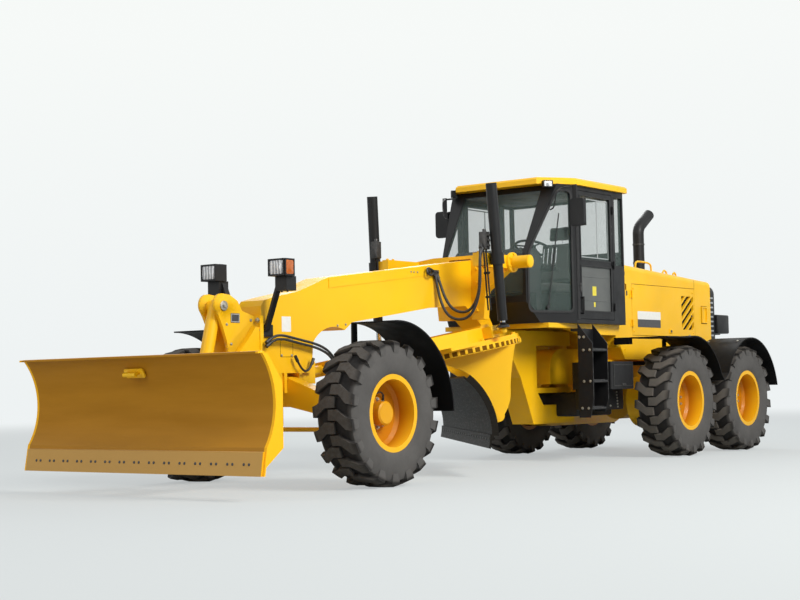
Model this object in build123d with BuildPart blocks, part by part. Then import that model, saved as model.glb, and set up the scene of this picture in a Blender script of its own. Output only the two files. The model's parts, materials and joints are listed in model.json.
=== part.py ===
"""Articulated motor grader with a front dozer blade, as an assembly of separate named pieces.

Every piece is drawn in the frame of the body that carries it. In the machine's frame x points to
the driver's left, y rearward from the front axle, and z up from the ground. Lengths are millimetres.
"""
import os
from math import atan2, cos, degrees, hypot, radians, sin

from build123d import *

os.makedirs("parts", exist_ok=True)

# ---- driving sizes -------------------------------------------------------------------------
NOSE_REACH = 1905  # dozer blade's foremost edge, ahead of the front axle
TAIL_REACH = 8440  # rearmost face, behind the front axle
WHEELBASE = 6570  # front axle to the middle of the tandem
TANDEM_SPACING = 1583
TRACK = 2260
PIVOT_AFT = 4960  # articulation pin

TYRE_RADIUS = 655
TYRE_WIDTH = 445
BEAD_RADIUS = 318
RIM_FLANGE_RADIUS = 352
RIM_WIDTH = 380
RIM_WALL = 16

GAP = 0.3  # between faces that move on each other
AIR = 6  # between pieces that pass each other
HINGE_RADIUS = 13  # of the doors' hinges
HINGE_PIN = 7
HINGE_HEIGHT = 45

MACHINE = Plane((0, (NOSE_REACH - TAIL_REACH) / 2, 0))
FRONT_TANDEM_AFT = WHEELBASE - TANDEM_SPACING / 2
REAR_TANDEM_AFT = WHEELBASE + TANDEM_SPACING / 2
SIDES = {"left": 1, "right": -1}


# ---- drawing helpers -----------------------------------------------------------------------
def turned(frame, v):
    """A direction given in a frame, as a world vector."""
    return frame.x_dir * v[0] + frame.y_dir * v[1] + frame.z_dir * v[2]


def place(frame, at, x_dir, z_dir):
    """A sketch plane at a point of a frame, its own directions given in that frame."""
    origin = frame.from_local_coords(Vector(*at))
    return Plane(origin, x_dir=turned(frame, x_dir), z_dir=turned(frame, z_dir))


def plan(frame, z):
    """Seen from above: sketch x, y are the frame's x, y. Extrusion goes up."""
    return place(frame, (0, 0, z), (1, 0, 0), (0, 0, 1))


def side(frame, x):
    """Seen from the left: sketch x, y are the frame's y, z. Extrusion goes left."""
    return place(frame, (x, 0, 0), (0, 1, 0), (1, 0, 0))


def front(frame, y):
    """Seen from the front: sketch x, y are the frame's x, z. Extrusion goes forward."""
    return place(frame, (0, y, 0), (1, 0, 0), (0, -1, 0))


def block(frame, x, y, z, mode=Mode.ADD):
    """A box between two values on each axis of a frame."""
    with BuildSketch(plan(frame, z[0])) as face:
        with Locations(((x[0] + x[1]) / 2, (y[0] + y[1]) / 2)):
            Rectangle(x[1] - x[0], y[1] - y[0])
    extrude(face.sketch, amount=z[1] - z[0], mode=mode)


def prism(plane, points, amount, mode=Mode.ADD, both=False):
    """A straight-sided outline, extruded."""
    with BuildSketch(plane) as face:
        with BuildLine():
            Polyline(*points, close=True)
        make_face()
    extrude(face.sketch, amount=amount, both=both, mode=mode)


def rod(frame, start, end, radius, mode=Mode.ADD, bore=0):
    """A round bar between two points of a frame, or a tube if it has a bore."""
    a = frame.from_local_coords(Vector(*start))
    b = frame.from_local_coords(Vector(*end))
    with BuildSketch(Plane(a, z_dir=b - a)) as face:
        Circle(radius)
        if bore:
            Circle(bore, mode=Mode.SUBTRACT)
    extrude(face.sketch, amount=(b - a).length, mode=mode)


def turning(frame, points, mode=Mode.ADD):
    """An outline of (along x, radius) points turned about the frame's x axis."""
    with BuildSketch(front(frame, 0)) as face:
        with BuildLine():
            Polyline(*points, close=True)
        make_face()
    revolve(face.sketch, axis=Axis(frame.origin, frame.x_dir), mode=mode)


def hinge_half(sign, wall_x, aft, z, run, pin=False):
    """Half of a butt hinge outside a side wall: a leaf running off from its knuckle.

    The carrying half holds the pin and lies below z; the door's half turns on it above.
    """
    x = sign * (wall_x + HINGE_RADIUS + 1)
    low, high = (z - HINGE_HEIGHT, z - GAP) if pin else (z, z + HINGE_HEIGHT)
    rod(MACHINE, (x, aft, low), (x, aft, high), HINGE_RADIUS)
    near, far = sorted((sign * (wall_x - 1), sign * (wall_x + 6)))
    fore, rear = sorted((aft + run * 6, aft + run * 42))
    block(MACHINE, (near, far), (fore, rear), (low, high))
    if pin:
        rod(MACHINE, (x, aft, low), (x, aft, z + HINGE_HEIGHT), HINGE_PIN)
    else:
        rod(MACHINE, (x, aft, low - 1), (x, aft, high + 1), HINGE_PIN + GAP, Mode.SUBTRACT)


def save(builder, name):
    """Label a finished piece and write it."""
    builder.part.label = name
    export_step(builder.part, f"parts/{name}.step")


# ---- wheels --------------------------------------------------------------------------------
# (name, distance behind the front axle, how far the disc sits in from the outer flange,
# how far its hub cap stands out)
WHEELS = [
    ("front", 0, 200, 120),
    ("middle", FRONT_TANDEM_AFT, 210, 0),
    ("rear", REAR_TANDEM_AFT, 210, 0),
]


def wheel_frame(sign, aft):
    """Origin at the wheel's centre, x pointing outboard."""
    at = MACHINE.from_local_coords(Vector(sign * TRACK / 2, aft, TYRE_RADIUS))
    return Plane(at, x_dir=(sign, 0, 0), z_dir=(0, 0, 1))


def tyre_outline():
    """Right half of the section, from the bead out to the crown, as (x, radius)."""
    half = TYRE_WIDTH / 2
    tall = TYRE_RADIUS - BEAD_RADIUS
    return [
        (RIM_WIDTH / 2 - RIM_WALL, BEAD_RADIUS),
        (RIM_WIDTH / 2 - RIM_WALL, RIM_FLANGE_RADIUS),
        (half - 12, BEAD_RADIUS + 0.26 * tall),
        (half, BEAD_RADIUS + 0.50 * tall),
        (half - 8, BEAD_RADIUS + 0.78 * tall),
        (half - 40, BEAD_RADIUS + 0.95 * tall),
        (half * 0.45, TYRE_RADIUS),
    ]


HUB_RADIUS = 105
DISC_RADIUS = BEAD_RADIUS - 45
DISC_WALL = 18
for side_name, sign in SIDES.items():
    for wheel, aft, dish, cap in WHEELS:
        frame = wheel_frame(sign, aft)
        outline = tyre_outline()
        with BuildPart() as tyre:
            turning(frame, outline + [(-x, r) for x, r in reversed(outline)])
        save(tyre, f"tyre_{wheel}_{side_name}")

        edge = RIM_WIDTH / 2
        disc = edge - dish
        inner = BEAD_RADIUS - RIM_WALL
        middle = [(disc + 12, 0)]
        if cap:
            middle = [
                (disc + 12, HUB_RADIUS + 3),
                (disc + cap - 14, HUB_RADIUS + 3),
                (disc + cap, HUB_RADIUS - 12),
                (disc + cap, 0),
            ]
        with BuildPart() as rim:
            turning(
                frame,
                [
                    (-edge, inner),
                    (-edge, RIM_FLANGE_RADIUS),
                    (-edge + RIM_WALL, RIM_FLANGE_RADIUS),
                    (-edge + RIM_WALL, BEAD_RADIUS),
                    (edge - RIM_WALL, BEAD_RADIUS),
                    (edge - RIM_WALL, RIM_FLANGE_RADIUS),
                    (edge, RIM_FLANGE_RADIUS),
                    (edge, inner),
                    (disc + 30, inner),
                    (disc, DISC_RADIUS),
                    (disc, HUB_RADIUS + 60),
                    (disc + 12, HUB_RADIUS + 40),
                    *middle,
                    (disc - 2 * DISC_WALL, 0),
                    (disc - 2 * DISC_WALL, HUB_RADIUS),
                    (disc - DISC_WALL, HUB_RADIUS + 60),
                    (disc - DISC_WALL, DISC_RADIUS),
                    (disc - DISC_WALL, inner),
                ],
            )
        save(rim, f"rim_{wheel}_{side_name}")

# ---- tandem drive and rear axle ------------------------------------------------------------
TANDEM_INNER = 620
TANDEM_OUTER = TRACK / 2 - RIM_WIDTH / 2 - 60
TANDEM_END_RADIUS = 300
AXLE_TUBE_RADIUS = 150
with BuildPart() as rear_axle:
    rod(
        MACHINE,
        (-TANDEM_INNER - 10, WHEELBASE, TYRE_RADIUS),
        (TANDEM_INNER + 10, WHEELBASE, TYRE_RADIUS),
        AXLE_TUBE_RADIUS,
    )
    # differential housing
    rod(
        MACHINE,
        (0, WHEELBASE - 230, TYRE_RADIUS),
        (0, WHEELBASE + 230, TYRE_RADIUS),
        230,
    )
    for sign in SIDES.values():
        with BuildSketch(side(MACHINE, sign * TANDEM_INNER)) as face:
            with Locations((WHEELBASE, TYRE_RADIUS)):
                SlotCenterToCenter(TANDEM_SPACING, 2 * TANDEM_END_RADIUS)
        extrude(face.sketch, amount=sign * (TANDEM_OUTER - TANDEM_INNER))
        for wheel, aft, dish, cap in WHEELS[1:]:
            # the stub that carries the wheel's disc
            reach = TRACK / 2 + RIM_WIDTH / 2 - dish - 2 * DISC_WALL - GAP
            rod(
                MACHINE,
                (sign * TANDEM_OUTER, aft, TYRE_RADIUS),
                (sign * reach, aft, TYRE_RADIUS),
                HUB_RADIUS - 5,
            )
save(rear_axle, "rear_axle")

# ---- rear frame ----------------------------------------------------------------------------
RAIL_INNER = 330
RAIL_OUTER = 430
RAIL_BOTTOM = 880
RAIL_TOP = 1160
RAIL_FRONT_AFT = 5125
RAIL_REAR_AFT = WHEELBASE + 1230
HINGE_HALF_WIDTH = 200
HINGE_BOTTOM = 880
HINGE_TOP = 1290
HINGE_FRONT_AFT = 4450
PIN_RADIUS = 60
UPPER_ARM_BOTTOM = 1330
UPPER_ARM_TOP = 1495
LOWER_EAR_BOTTOM = 780
LOWER_EAR_TOP = 840
CAB_BOTTOM = 1560
OUTRIGGER_FRONT_AFT = 3640
JAW_Z = 890  # underside of the towing jaw
JAW_WALL = 25
JAW_MOUTH = 70
JAW_PIN_AFT = WHEELBASE + 1450
JAW_PIN_RADIUS = 22
OUTRIGGER_INNER = 560
OUTRIGGER_OUTER = 700
CAB_HALF_WIDTH = 790
CAB_FRONT_AFT = 3415
CAB_REAR_AFT = 5215
with BuildPart() as rear_frame:
    # hinge housing, its front edge rounded over
    with BuildSketch(side(MACHINE, -HINGE_HALF_WIDTH)) as face:
        with BuildLine():
            corner = 240
            rear = RAIL_FRONT_AFT + 90
            Line((rear, HINGE_BOTTOM), (HINGE_FRONT_AFT, HINGE_BOTTOM))
            Line(
                (HINGE_FRONT_AFT, HINGE_BOTTOM), (HINGE_FRONT_AFT, HINGE_TOP - corner)
            )
            JernArc((HINGE_FRONT_AFT, HINGE_TOP - corner), (0, 1), corner, -90)
            Line((HINGE_FRONT_AFT + corner, HINGE_TOP), (rear, HINGE_TOP))
            Line((rear, HINGE_TOP), (rear, HINGE_BOTTOM))
        make_face()
    extrude(face.sketch, amount=2 * HINGE_HALF_WIDTH)
    # the pin, standing out above and below through the front frame's two arms
    rod(
        MACHINE,
        (0, PIVOT_AFT, LOWER_EAR_BOTTOM - 30),
        (0, PIVOT_AFT, UPPER_ARM_TOP + 30),
        PIN_RADIUS,
    )
    # thrust collars
    rod(
        MACHINE,
        (0, PIVOT_AFT, LOWER_EAR_TOP + GAP),
        (0, PIVOT_AFT, UPPER_ARM_BOTTOM - GAP),
        PIN_RADIUS + 50,
    )
    # cross member behind the hinge, two rails and the tail beam
    block(
        MACHINE,
        (-RAIL_OUTER, RAIL_OUTER),
        (RAIL_FRONT_AFT, RAIL_FRONT_AFT + 90),
        (RAIL_BOTTOM, CAB_BOTTOM),
    )
    for sign in (1, -1):
        near, far = sorted((sign * RAIL_INNER, sign * RAIL_OUTER))
        block(
            MACHINE,
            (near, far),
            (RAIL_FRONT_AFT, RAIL_REAR_AFT),
            (RAIL_BOTTOM, RAIL_TOP),
        )
        # saddle from the rail down to the axle tube
        block(
            MACHINE,
            (near, far),
            (WHEELBASE - 200, WHEELBASE + 200),
            (TYRE_RADIUS + AXLE_TUBE_RADIUS, RAIL_BOTTOM),
        )
        # cab outrigger, deeper towards the hinge
        prism(
            side(MACHINE, min(sign * OUTRIGGER_INNER, sign * OUTRIGGER_OUTER)),
            [
                (OUTRIGGER_FRONT_AFT, CAB_BOTTOM),
                (OUTRIGGER_FRONT_AFT, CAB_BOTTOM - 52),
                (4130, CAB_BOTTOM - 52),
                (4560, CAB_BOTTOM - 120),
                (RAIL_FRONT_AFT + 90, CAB_BOTTOM - 120),
                (RAIL_FRONT_AFT + 90, CAB_BOTTOM),
            ],
            OUTRIGGER_OUTER - OUTRIGGER_INNER,
        )
        near, far = sorted((sign * (RAIL_OUTER - 20), sign * OUTRIGGER_OUTER))
        block(
            MACHINE,
            (near, far),
            (RAIL_FRONT_AFT, RAIL_FRONT_AFT + 90),
            (CAB_BOTTOM - 260, CAB_BOTTOM),
        )
    block(
        MACHINE,
        (-RAIL_OUTER, RAIL_OUTER),
        (RAIL_REAR_AFT, RAIL_REAR_AFT + 120),
        (RAIL_BOTTOM - 60, RAIL_TOP),
    )
    # towing jaw: two plates with a vertical pin hole
    for z in (JAW_Z, JAW_Z + JAW_WALL + JAW_MOUTH):
        block(
            MACHINE,
            (-75, 75),
            (RAIL_REAR_AFT + 119, JAW_PIN_AFT + 60),
            (z, z + JAW_WALL),
        )
    rod(
        MACHINE,
        (0, JAW_PIN_AFT, JAW_Z - 1),
        (0, JAW_PIN_AFT, JAW_Z + 2 * JAW_WALL + JAW_MOUTH + 1),
        JAW_PIN_RADIUS,
        mode=Mode.SUBTRACT,
    )
    block(
        MACHINE,
        (-640, 640),
        (OUTRIGGER_FRONT_AFT, OUTRIGGER_FRONT_AFT + 120),
        (CAB_BOTTOM - 52, CAB_BOTTOM),
    )
save(rear_frame, "rear_frame")

# ---- hood ----------------------------------------------------------------------------------
HOOD_HALF_WIDTH = 600
HOOD_FRONT_AFT = CAB_REAR_AFT + 7
HOOD_REAR_AFT = WHEELBASE + 1290
HOOD_BOTTOM = RAIL_TOP
HOOD_TOP_FRONT = 2330
HOOD_TOP_REAR = 2190
HOOD_WALL = 30
HOOD_DOOR_FRONT = WHEELBASE - 850
HOOD_DOOR_REAR = WHEELBASE + 830
HOOD_DOOR_BOTTOM = 1450
HOOD_DOOR_TOP = 2080
HOOD_CORNER = 70
HOOD_HINGES = (1600, 1950)
LOUVRE_COUNT = 6
LOUVRE_SPAN = (HOOD_DOOR_REAR - 370, HOOD_DOOR_REAR - 35)
LOUVRE_BAND = (1543, 1972)  # lowest and highest
LOUVRE_RISE = 240  # from its front end to its rear end
LOUVRE_STEP = 112
LOUVRE_GAPE = 80
EXHAUST_AT = (100, WHEELBASE + 290)
EXHAUST_RADIUS = 72


with BuildPart() as engine_block:
    block(
        MACHINE,
        (-RAIL_INNER, RAIL_INNER),
        (WHEELBASE - 820, WHEELBASE + 430),
        (RAIL_BOTTOM + 120, HOOD_TOP_REAR - 240),
    )
save(engine_block, "engine_block")


def hood_outline(inset):
    """The hood from the side, drawn in by a wall."""
    return [
        (HOOD_FRONT_AFT + inset, 1580 - inset * 0.4),
        (HOOD_FRONT_AFT + inset, HOOD_TOP_FRONT - inset),
        (HOOD_REAR_AFT - inset, HOOD_TOP_REAR - inset),
        (HOOD_REAR_AFT - inset, HOOD_BOTTOM + inset),
        (HOOD_FRONT_AFT + 300 + inset * 0.4, HOOD_BOTTOM + inset),
    ]


with BuildPart() as hood:
    prism(side(MACHINE, -HOOD_HALF_WIDTH), hood_outline(0), 2 * HOOD_HALF_WIDTH)
    top_edges = hood.edges().filter_by(
        lambda e: e.center().Z > HOOD_TOP_REAR - 5
        and abs(e.center().X) > HOOD_HALF_WIDTH - 1
        and e.length > 1000
    )
    fillet(top_edges, HOOD_CORNER)
    prism(
        side(MACHINE, -HOOD_HALF_WIDTH + HOOD_WALL),
        hood_outline(HOOD_WALL),
        2 * (HOOD_HALF_WIDTH - HOOD_WALL),
        mode=Mode.SUBTRACT,
    )
    # door openings on both sides, open floor between the rails, open tail for the radiator
    block(
        MACHINE,
        (-HOOD_HALF_WIDTH - 1, HOOD_HALF_WIDTH + 1),
        (HOOD_DOOR_FRONT, HOOD_DOOR_REAR),
        (HOOD_DOOR_BOTTOM, HOOD_DOOR_TOP),
        mode=Mode.SUBTRACT,
    )
    block(
        MACHINE,
        (-RAIL_INNER, RAIL_INNER),
        (HOOD_FRONT_AFT - 1, HOOD_REAR_AFT - HOOD_WALL),
        (HOOD_BOTTOM - 1, HOOD_BOTTOM + HOOD_WALL + 1),
        mode=Mode.SUBTRACT,
    )
    block(
        MACHINE,
        (-420, 420),
        (HOOD_REAR_AFT - HOOD_WALL - 1, HOOD_REAR_AFT + 1),
        (1300, 2060),
        mode=Mode.SUBTRACT,
    )
    rod(
        MACHINE,
        (*EXHAUST_AT, HOOD_TOP_REAR - 200),
        (*EXHAUST_AT, HOOD_TOP_FRONT + 50),
        EXHAUST_RADIUS + AIR,
        mode=Mode.SUBTRACT,
    )
    for sign in (1, -1):
        for z in HOOD_HINGES:
            hinge_half(sign, HOOD_HALF_WIDTH, HOOD_DOOR_FRONT - 2, z, -1, pin=True)
save(hood, "hood")

for side_name, sign in SIDES.items():
    near, far = sorted(
        (sign * (HOOD_HALF_WIDTH - HOOD_WALL), sign * HOOD_HALF_WIDTH)
    )
    with BuildPart() as hood_door:
        block(
            MACHINE,
            (near, far),
            (HOOD_DOOR_FRONT + AIR, HOOD_DOOR_REAR - AIR),
            (HOOD_DOOR_BOTTOM + AIR, HOOD_DOOR_TOP - AIR),
        )
        # slanted slots, cut off by an upright rectangle
        fore, rear = LOUVRE_SPAN
        with BuildSketch(side(MACHINE, near - 1)) as face:
            for i in range(LOUVRE_COUNT):
                low = LOUVRE_BAND[0] - LOUVRE_RISE + 32 + i * LOUVRE_STEP
                with BuildLine():
                    Polyline(
                        (fore, low),
                        (rear, low + LOUVRE_RISE),
                        (rear, low + LOUVRE_RISE + LOUVRE_GAPE),
                        (fore, low + LOUVRE_GAPE),
                        close=True,
                    )
                make_face()
            with Locations(((fore + rear) / 2, sum(LOUVRE_BAND) / 2)):
                Rectangle(rear - fore, LOUVRE_BAND[1] - LOUVRE_BAND[0], mode=Mode.INTERSECT)
        extrude(face.sketch, amount=HOOD_WALL + 2, mode=Mode.SUBTRACT)
        for z in HOOD_HINGES:
            hinge_half(sign, HOOD_HALF_WIDTH, HOOD_DOOR_FRONT - 2, z, 1)
    save(hood_door, f"hood_door_{side_name}")

GRILLE_DEPTH = 200
with BuildPart() as rear_grille:
    block(
        MACHINE,
        (-560, 560),
        (HOOD_REAR_AFT, HOOD_REAR_AFT + GRILLE_DEPTH),
        (1250, 2150),
    )
    fillet(
        rear_grille.edges()
        .filter_by(Axis.Y)
        .filter_by(lambda e: e.center().Z > 2000),
        120,
    )
    block(
        MACHINE,
        (-500, 500),
        (HOOD_REAR_AFT - 1, HOOD_REAR_AFT + GRILLE_DEPTH + 1),
        (1310, 2070),
        mode=Mode.SUBTRACT,
    )
    for i in range(9):
        low = 1340 + i * 82
        block(
            MACHINE,
            (-500, 500),
            (HOOD_REAR_AFT + 30, HOOD_REAR_AFT + 60),
            (low, low + 30),
        )
save(rear_grille, "rear_grille")

with BuildPart() as tail_box:
    block(
        MACHINE,
        (-470, 470),
        (HOOD_REAR_AFT + 60, TAIL_REACH),
        (1500, 1770),
    )
    fillet(tail_box.edges().filter_by(Axis.Z), 40)
save(tail_box, "tail_box")

with BuildPart() as exhaust_stack:
    with BuildLine() as path:
        stack = FilletPolyline(
            MACHINE.from_local_coords(Vector(*EXHAUST_AT, 1950)),
            MACHINE.from_local_coords(Vector(*EXHAUST_AT, 2870)),
            MACHINE.from_local_coords(Vector(EXHAUST_AT[0], EXHAUST_AT[1] + 300, 3070)),
            radius=150,
        )
    with BuildSketch(Plane(path.line @ 0, z_dir=path.line % 0)) as face:
        Circle(EXHAUST_RADIUS)
    sweep(face.sketch, path=path.line)
save(exhaust_stack, "exhaust_stack")

# ---- rear fenders and side boxes -----------------------------------------------------------
FENDER_INNER = 890
FENDER_OUTER = 1400
FENDER_SHEET = 14
FENDER_RADIUS = TYRE_RADIUS + 110


def arc_point(centre_aft, radius, angle):
    """A point of a fender's arc, its angle measured up from straight behind the wheel."""
    return (
        centre_aft + radius * cos(radians(angle)),
        TYRE_RADIUS + radius * sin(radians(angle)),
    )


VALLEY = (WHEELBASE - 30, 900)  # where the two arcs meet between the wheels, (aft, height)
FENDER_STEP_AFT = FRONT_TANDEM_AFT - 698.5
FENDER_STEP_Z = 1408


def fender_line(sheet):
    """The fender's outer line, or the line a sheet's thickness inside it, front to rear."""
    radius = FENDER_RADIUS - sheet
    return [
        (FENDER_STEP_AFT, FENDER_STEP_Z - sheet),
        arc_point(FRONT_TANDEM_AFT, radius, 100),
        arc_point(FRONT_TANDEM_AFT, radius, 62),
        arc_point(FRONT_TANDEM_AFT, radius, 25),
        (VALLEY[0], VALLEY[1] - sheet),
        arc_point(REAR_TANDEM_AFT, radius, 155),
        arc_point(REAR_TANDEM_AFT, radius, 83),
        arc_point(REAR_TANDEM_AFT, radius, 12),
    ]


with BuildPart() as rear_fenders:
    for sign in (1, -1):
        near, far = sorted((sign * FENDER_INNER, sign * FENDER_OUTER))
        with BuildSketch(side(MACHINE, near)) as face:
            with BuildLine():
                for line in (fender_line(0), fender_line(FENDER_SHEET)):
                    Line(line[0], line[1])
                    ThreePointArc(line[1], line[2], line[3])
                    Line(line[3], line[4])
                    Line(line[4], line[5])
                    ThreePointArc(line[5], line[6], line[7])
                Line(fender_line(0)[0], fender_line(FENDER_SHEET)[0])
                Line(fender_line(0)[-1], fender_line(FENDER_SHEET)[-1])
            make_face()
        extrude(face.sketch, amount=far - near)
        # brackets: one from the cab's outrigger, three from the rail
        bar = tuple(sorted((sign * OUTRIGGER_OUTER, sign * (FENDER_INNER + 10))))
        block(
            MACHINE,
            bar,
            (FENDER_STEP_AFT, FENDER_STEP_AFT + 80),
            (FENDER_STEP_Z - 80, FENDER_STEP_Z),
        )
        bar = tuple(sorted((sign * RAIL_OUTER, sign * (FENDER_INNER - 1))))
        plate = tuple(sorted((sign * (FENDER_INNER - 6), sign * (FENDER_INNER + 10))))
        for aft, low, high in (
            (FRONT_TANDEM_AFT + 186.5, 1090, 1388),
            (VALLEY[0], 985, 1035),
            (REAR_TANDEM_AFT, 1090, 1410),
        ):
            block(MACHINE, bar, (aft - 40, aft + 40), (low, low + 50))
            block(MACHINE, plate, (aft - 40, aft + 40), (min(low, high - 150), high))
save(rear_fenders, "rear_fenders")

# ---- front frame ---------------------------------------------------------------------------
BEAM_HALF_WIDTH = 145
NOSE_FRONT_AFT = -435
NOSE_BOTTOM = 1035
BEAM_END_AFT = 3080
LEG_FOOT_AFT = 4320
LEG_FOOT_BOTTOM = 425
AXLE_PIN_HEIGHT = 930
AXLE_PIN_RADIUS = 50
AXLE_BEAM_HALF_DEPTH = 80
HANGER_WALL = 40
AXLE_PIN_REACH = AXLE_BEAM_HALF_DEPTH + AIR + HANGER_WALL + 20
BALL_AT = (0, 337, 1039)
BALL_RADIUS = 62
with BuildPart() as front_frame:
    with BuildSketch(side(MACHINE, -BEAM_HALF_WIDTH)) as face:
        with BuildLine():
            Polyline(
                (772, 1450),
                (890, 1529),
                (2193, 1708),
                (2840, 1745),
                (3200, 1500),
                (3500, 1425),
                (3600, 1380),
                (3909, 960),
                (4160, LEG_FOOT_BOTTOM),
                (5060, LEG_FOOT_BOTTOM),
                (5060, 640),
                (4380, 640),
                (4250, 800),
                (4250, UPPER_ARM_BOTTOM),
                (PIVOT_AFT, UPPER_ARM_BOTTOM),
                (PIVOT_AFT, UPPER_ARM_TOP),
                (3400, UPPER_ARM_TOP),
                (3180, 1790),
                (3150, 2190),
                (BEAM_END_AFT, 2262),
                (534, 1956),
                (87, 1803),
                (-251, 1738),
                (-390, 1705),
                (NOSE_FRONT_AFT, 1650),
                (NOSE_FRONT_AFT, NOSE_BOTTOM),
                (265, NOSE_BOTTOM),
                (294, 1328),
            )
            ThreePointArc((294, 1328), (460, 1450), (772, 1450))
        make_face()
    extrude(face.sketch, amount=2 * BEAM_HALF_WIDTH)
    # rounded upper arm and lower ear round the pin
    with BuildSketch(plan(MACHINE, UPPER_ARM_BOTTOM)) as face:
        with Locations((0, PIVOT_AFT)):
            Circle(BEAM_HALF_WIDTH)
    extrude(face.sketch, amount=UPPER_ARM_TOP - UPPER_ARM_BOTTOM)
    with BuildSketch(plan(MACHINE, LOWER_EAR_BOTTOM)) as face:
        with Locations((0, PIVOT_AFT)):
            Circle(BEAM_HALF_WIDTH)
        with Locations((0, (4240 + PIVOT_AFT) / 2)):
            Rectangle(2 * BEAM_HALF_WIDTH, PIVOT_AFT - 4240)
    extrude(face.sketch, amount=LOWER_EAR_TOP - LOWER_EAR_BOTTOM)
    # hangers for the front axle's pin, and the cup for the drawbar's ball
    for edge in (-AXLE_BEAM_HALF_DEPTH - AIR - HANGER_WALL, AXLE_BEAM_HALF_DEPTH + AIR):
        block(
            MACHINE,
            (-BEAM_HALF_WIDTH, BEAM_HALF_WIDTH),
            (edge, edge + HANGER_WALL),
            (AXLE_PIN_HEIGHT - 80, NOSE_BOTTOM + 1),
        )
    block(
        MACHINE,
        (-110, 110),
        (AXLE_PIN_REACH + AIR, BALL_AT[1] + 20),
        (BALL_AT[2] - 105, NOSE_BOTTOM + 1),
    )
    block(MACHINE, (-110, 110), (255, BALL_AT[1] + 20), (NOSE_BOTTOM, BALL_AT[2] + 105))
    rod(
        MACHINE,
        (0, PIVOT_AFT, 700),
        (0, PIVOT_AFT, UPPER_ARM_TOP + 50),
        PIN_RADIUS + GAP,
        mode=Mode.SUBTRACT,
    )
    rod(
        MACHINE,
        (0, -AXLE_PIN_REACH - AIR, AXLE_PIN_HEIGHT),
        (0, AXLE_PIN_REACH + AIR, AXLE_PIN_HEIGHT),
        AXLE_PIN_RADIUS + GAP,
        mode=Mode.SUBTRACT,
    )
    with Locations(MACHINE.from_local_coords(Vector(*BALL_AT))):
        Sphere(BALL_RADIUS + GAP, mode=Mode.SUBTRACT)
    rod(
        MACHINE,
        BALL_AT,
        (0, BALL_AT[1] + 120, BALL_AT[2]),
        BALL_RADIUS + GAP,
        mode=Mode.SUBTRACT,
    )
save(front_frame, "front_frame")

# ---- front axle, knuckles and steering -----------------------------------------------------
KINGPIN_X = 950
KINGPIN_RADIUS = 32
YOKE_HEIGHT = 110
STEER_ARM = 170
with BuildPart() as front_axle:
    with BuildSketch(front(MACHINE, AXLE_BEAM_HALF_DEPTH)) as face:
        with BuildLine():
            half = [
                (KINGPIN_X, TYRE_RADIUS - 70),
                (KINGPIN_X, TYRE_RADIUS + 70),
                (KINGPIN_X - 110, TYRE_RADIUS + 70),
                (520, 855),
                (110, AXLE_PIN_HEIGHT + 70),
            ]
            inner = [(170, 720), (560, 640), (KINGPIN_X - 110, TYRE_RADIUS - 70)]
            Polyline(
                *half,
                *[(-x, z) for x, z in reversed(half)],
                *[(-x, z) for x, z in reversed(inner)],
                *inner,
                close=True,
            )
        make_face()
    extrude(face.sketch, amount=2 * AXLE_BEAM_HALF_DEPTH)
    for sign in (1, -1):
        rod(
            MACHINE,
            (sign * KINGPIN_X, 0, TYRE_RADIUS - 70),
            (sign * KINGPIN_X, 0, TYRE_RADIUS + 70),
            AXLE_BEAM_HALF_DEPTH,
        )
        rod(
            MACHINE,
            (sign * KINGPIN_X, 0, TYRE_RADIUS - 90),
            (sign * KINGPIN_X, 0, TYRE_RADIUS + 90),
            KINGPIN_RADIUS + GAP,
            mode=Mode.SUBTRACT,
        )
    rod(
        MACHINE,
        (0, -AXLE_PIN_REACH, AXLE_PIN_HEIGHT),
        (0, AXLE_PIN_REACH, AXLE_PIN_HEIGHT),
        AXLE_PIN_RADIUS,
    )
save(front_axle, "front_axle")

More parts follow.
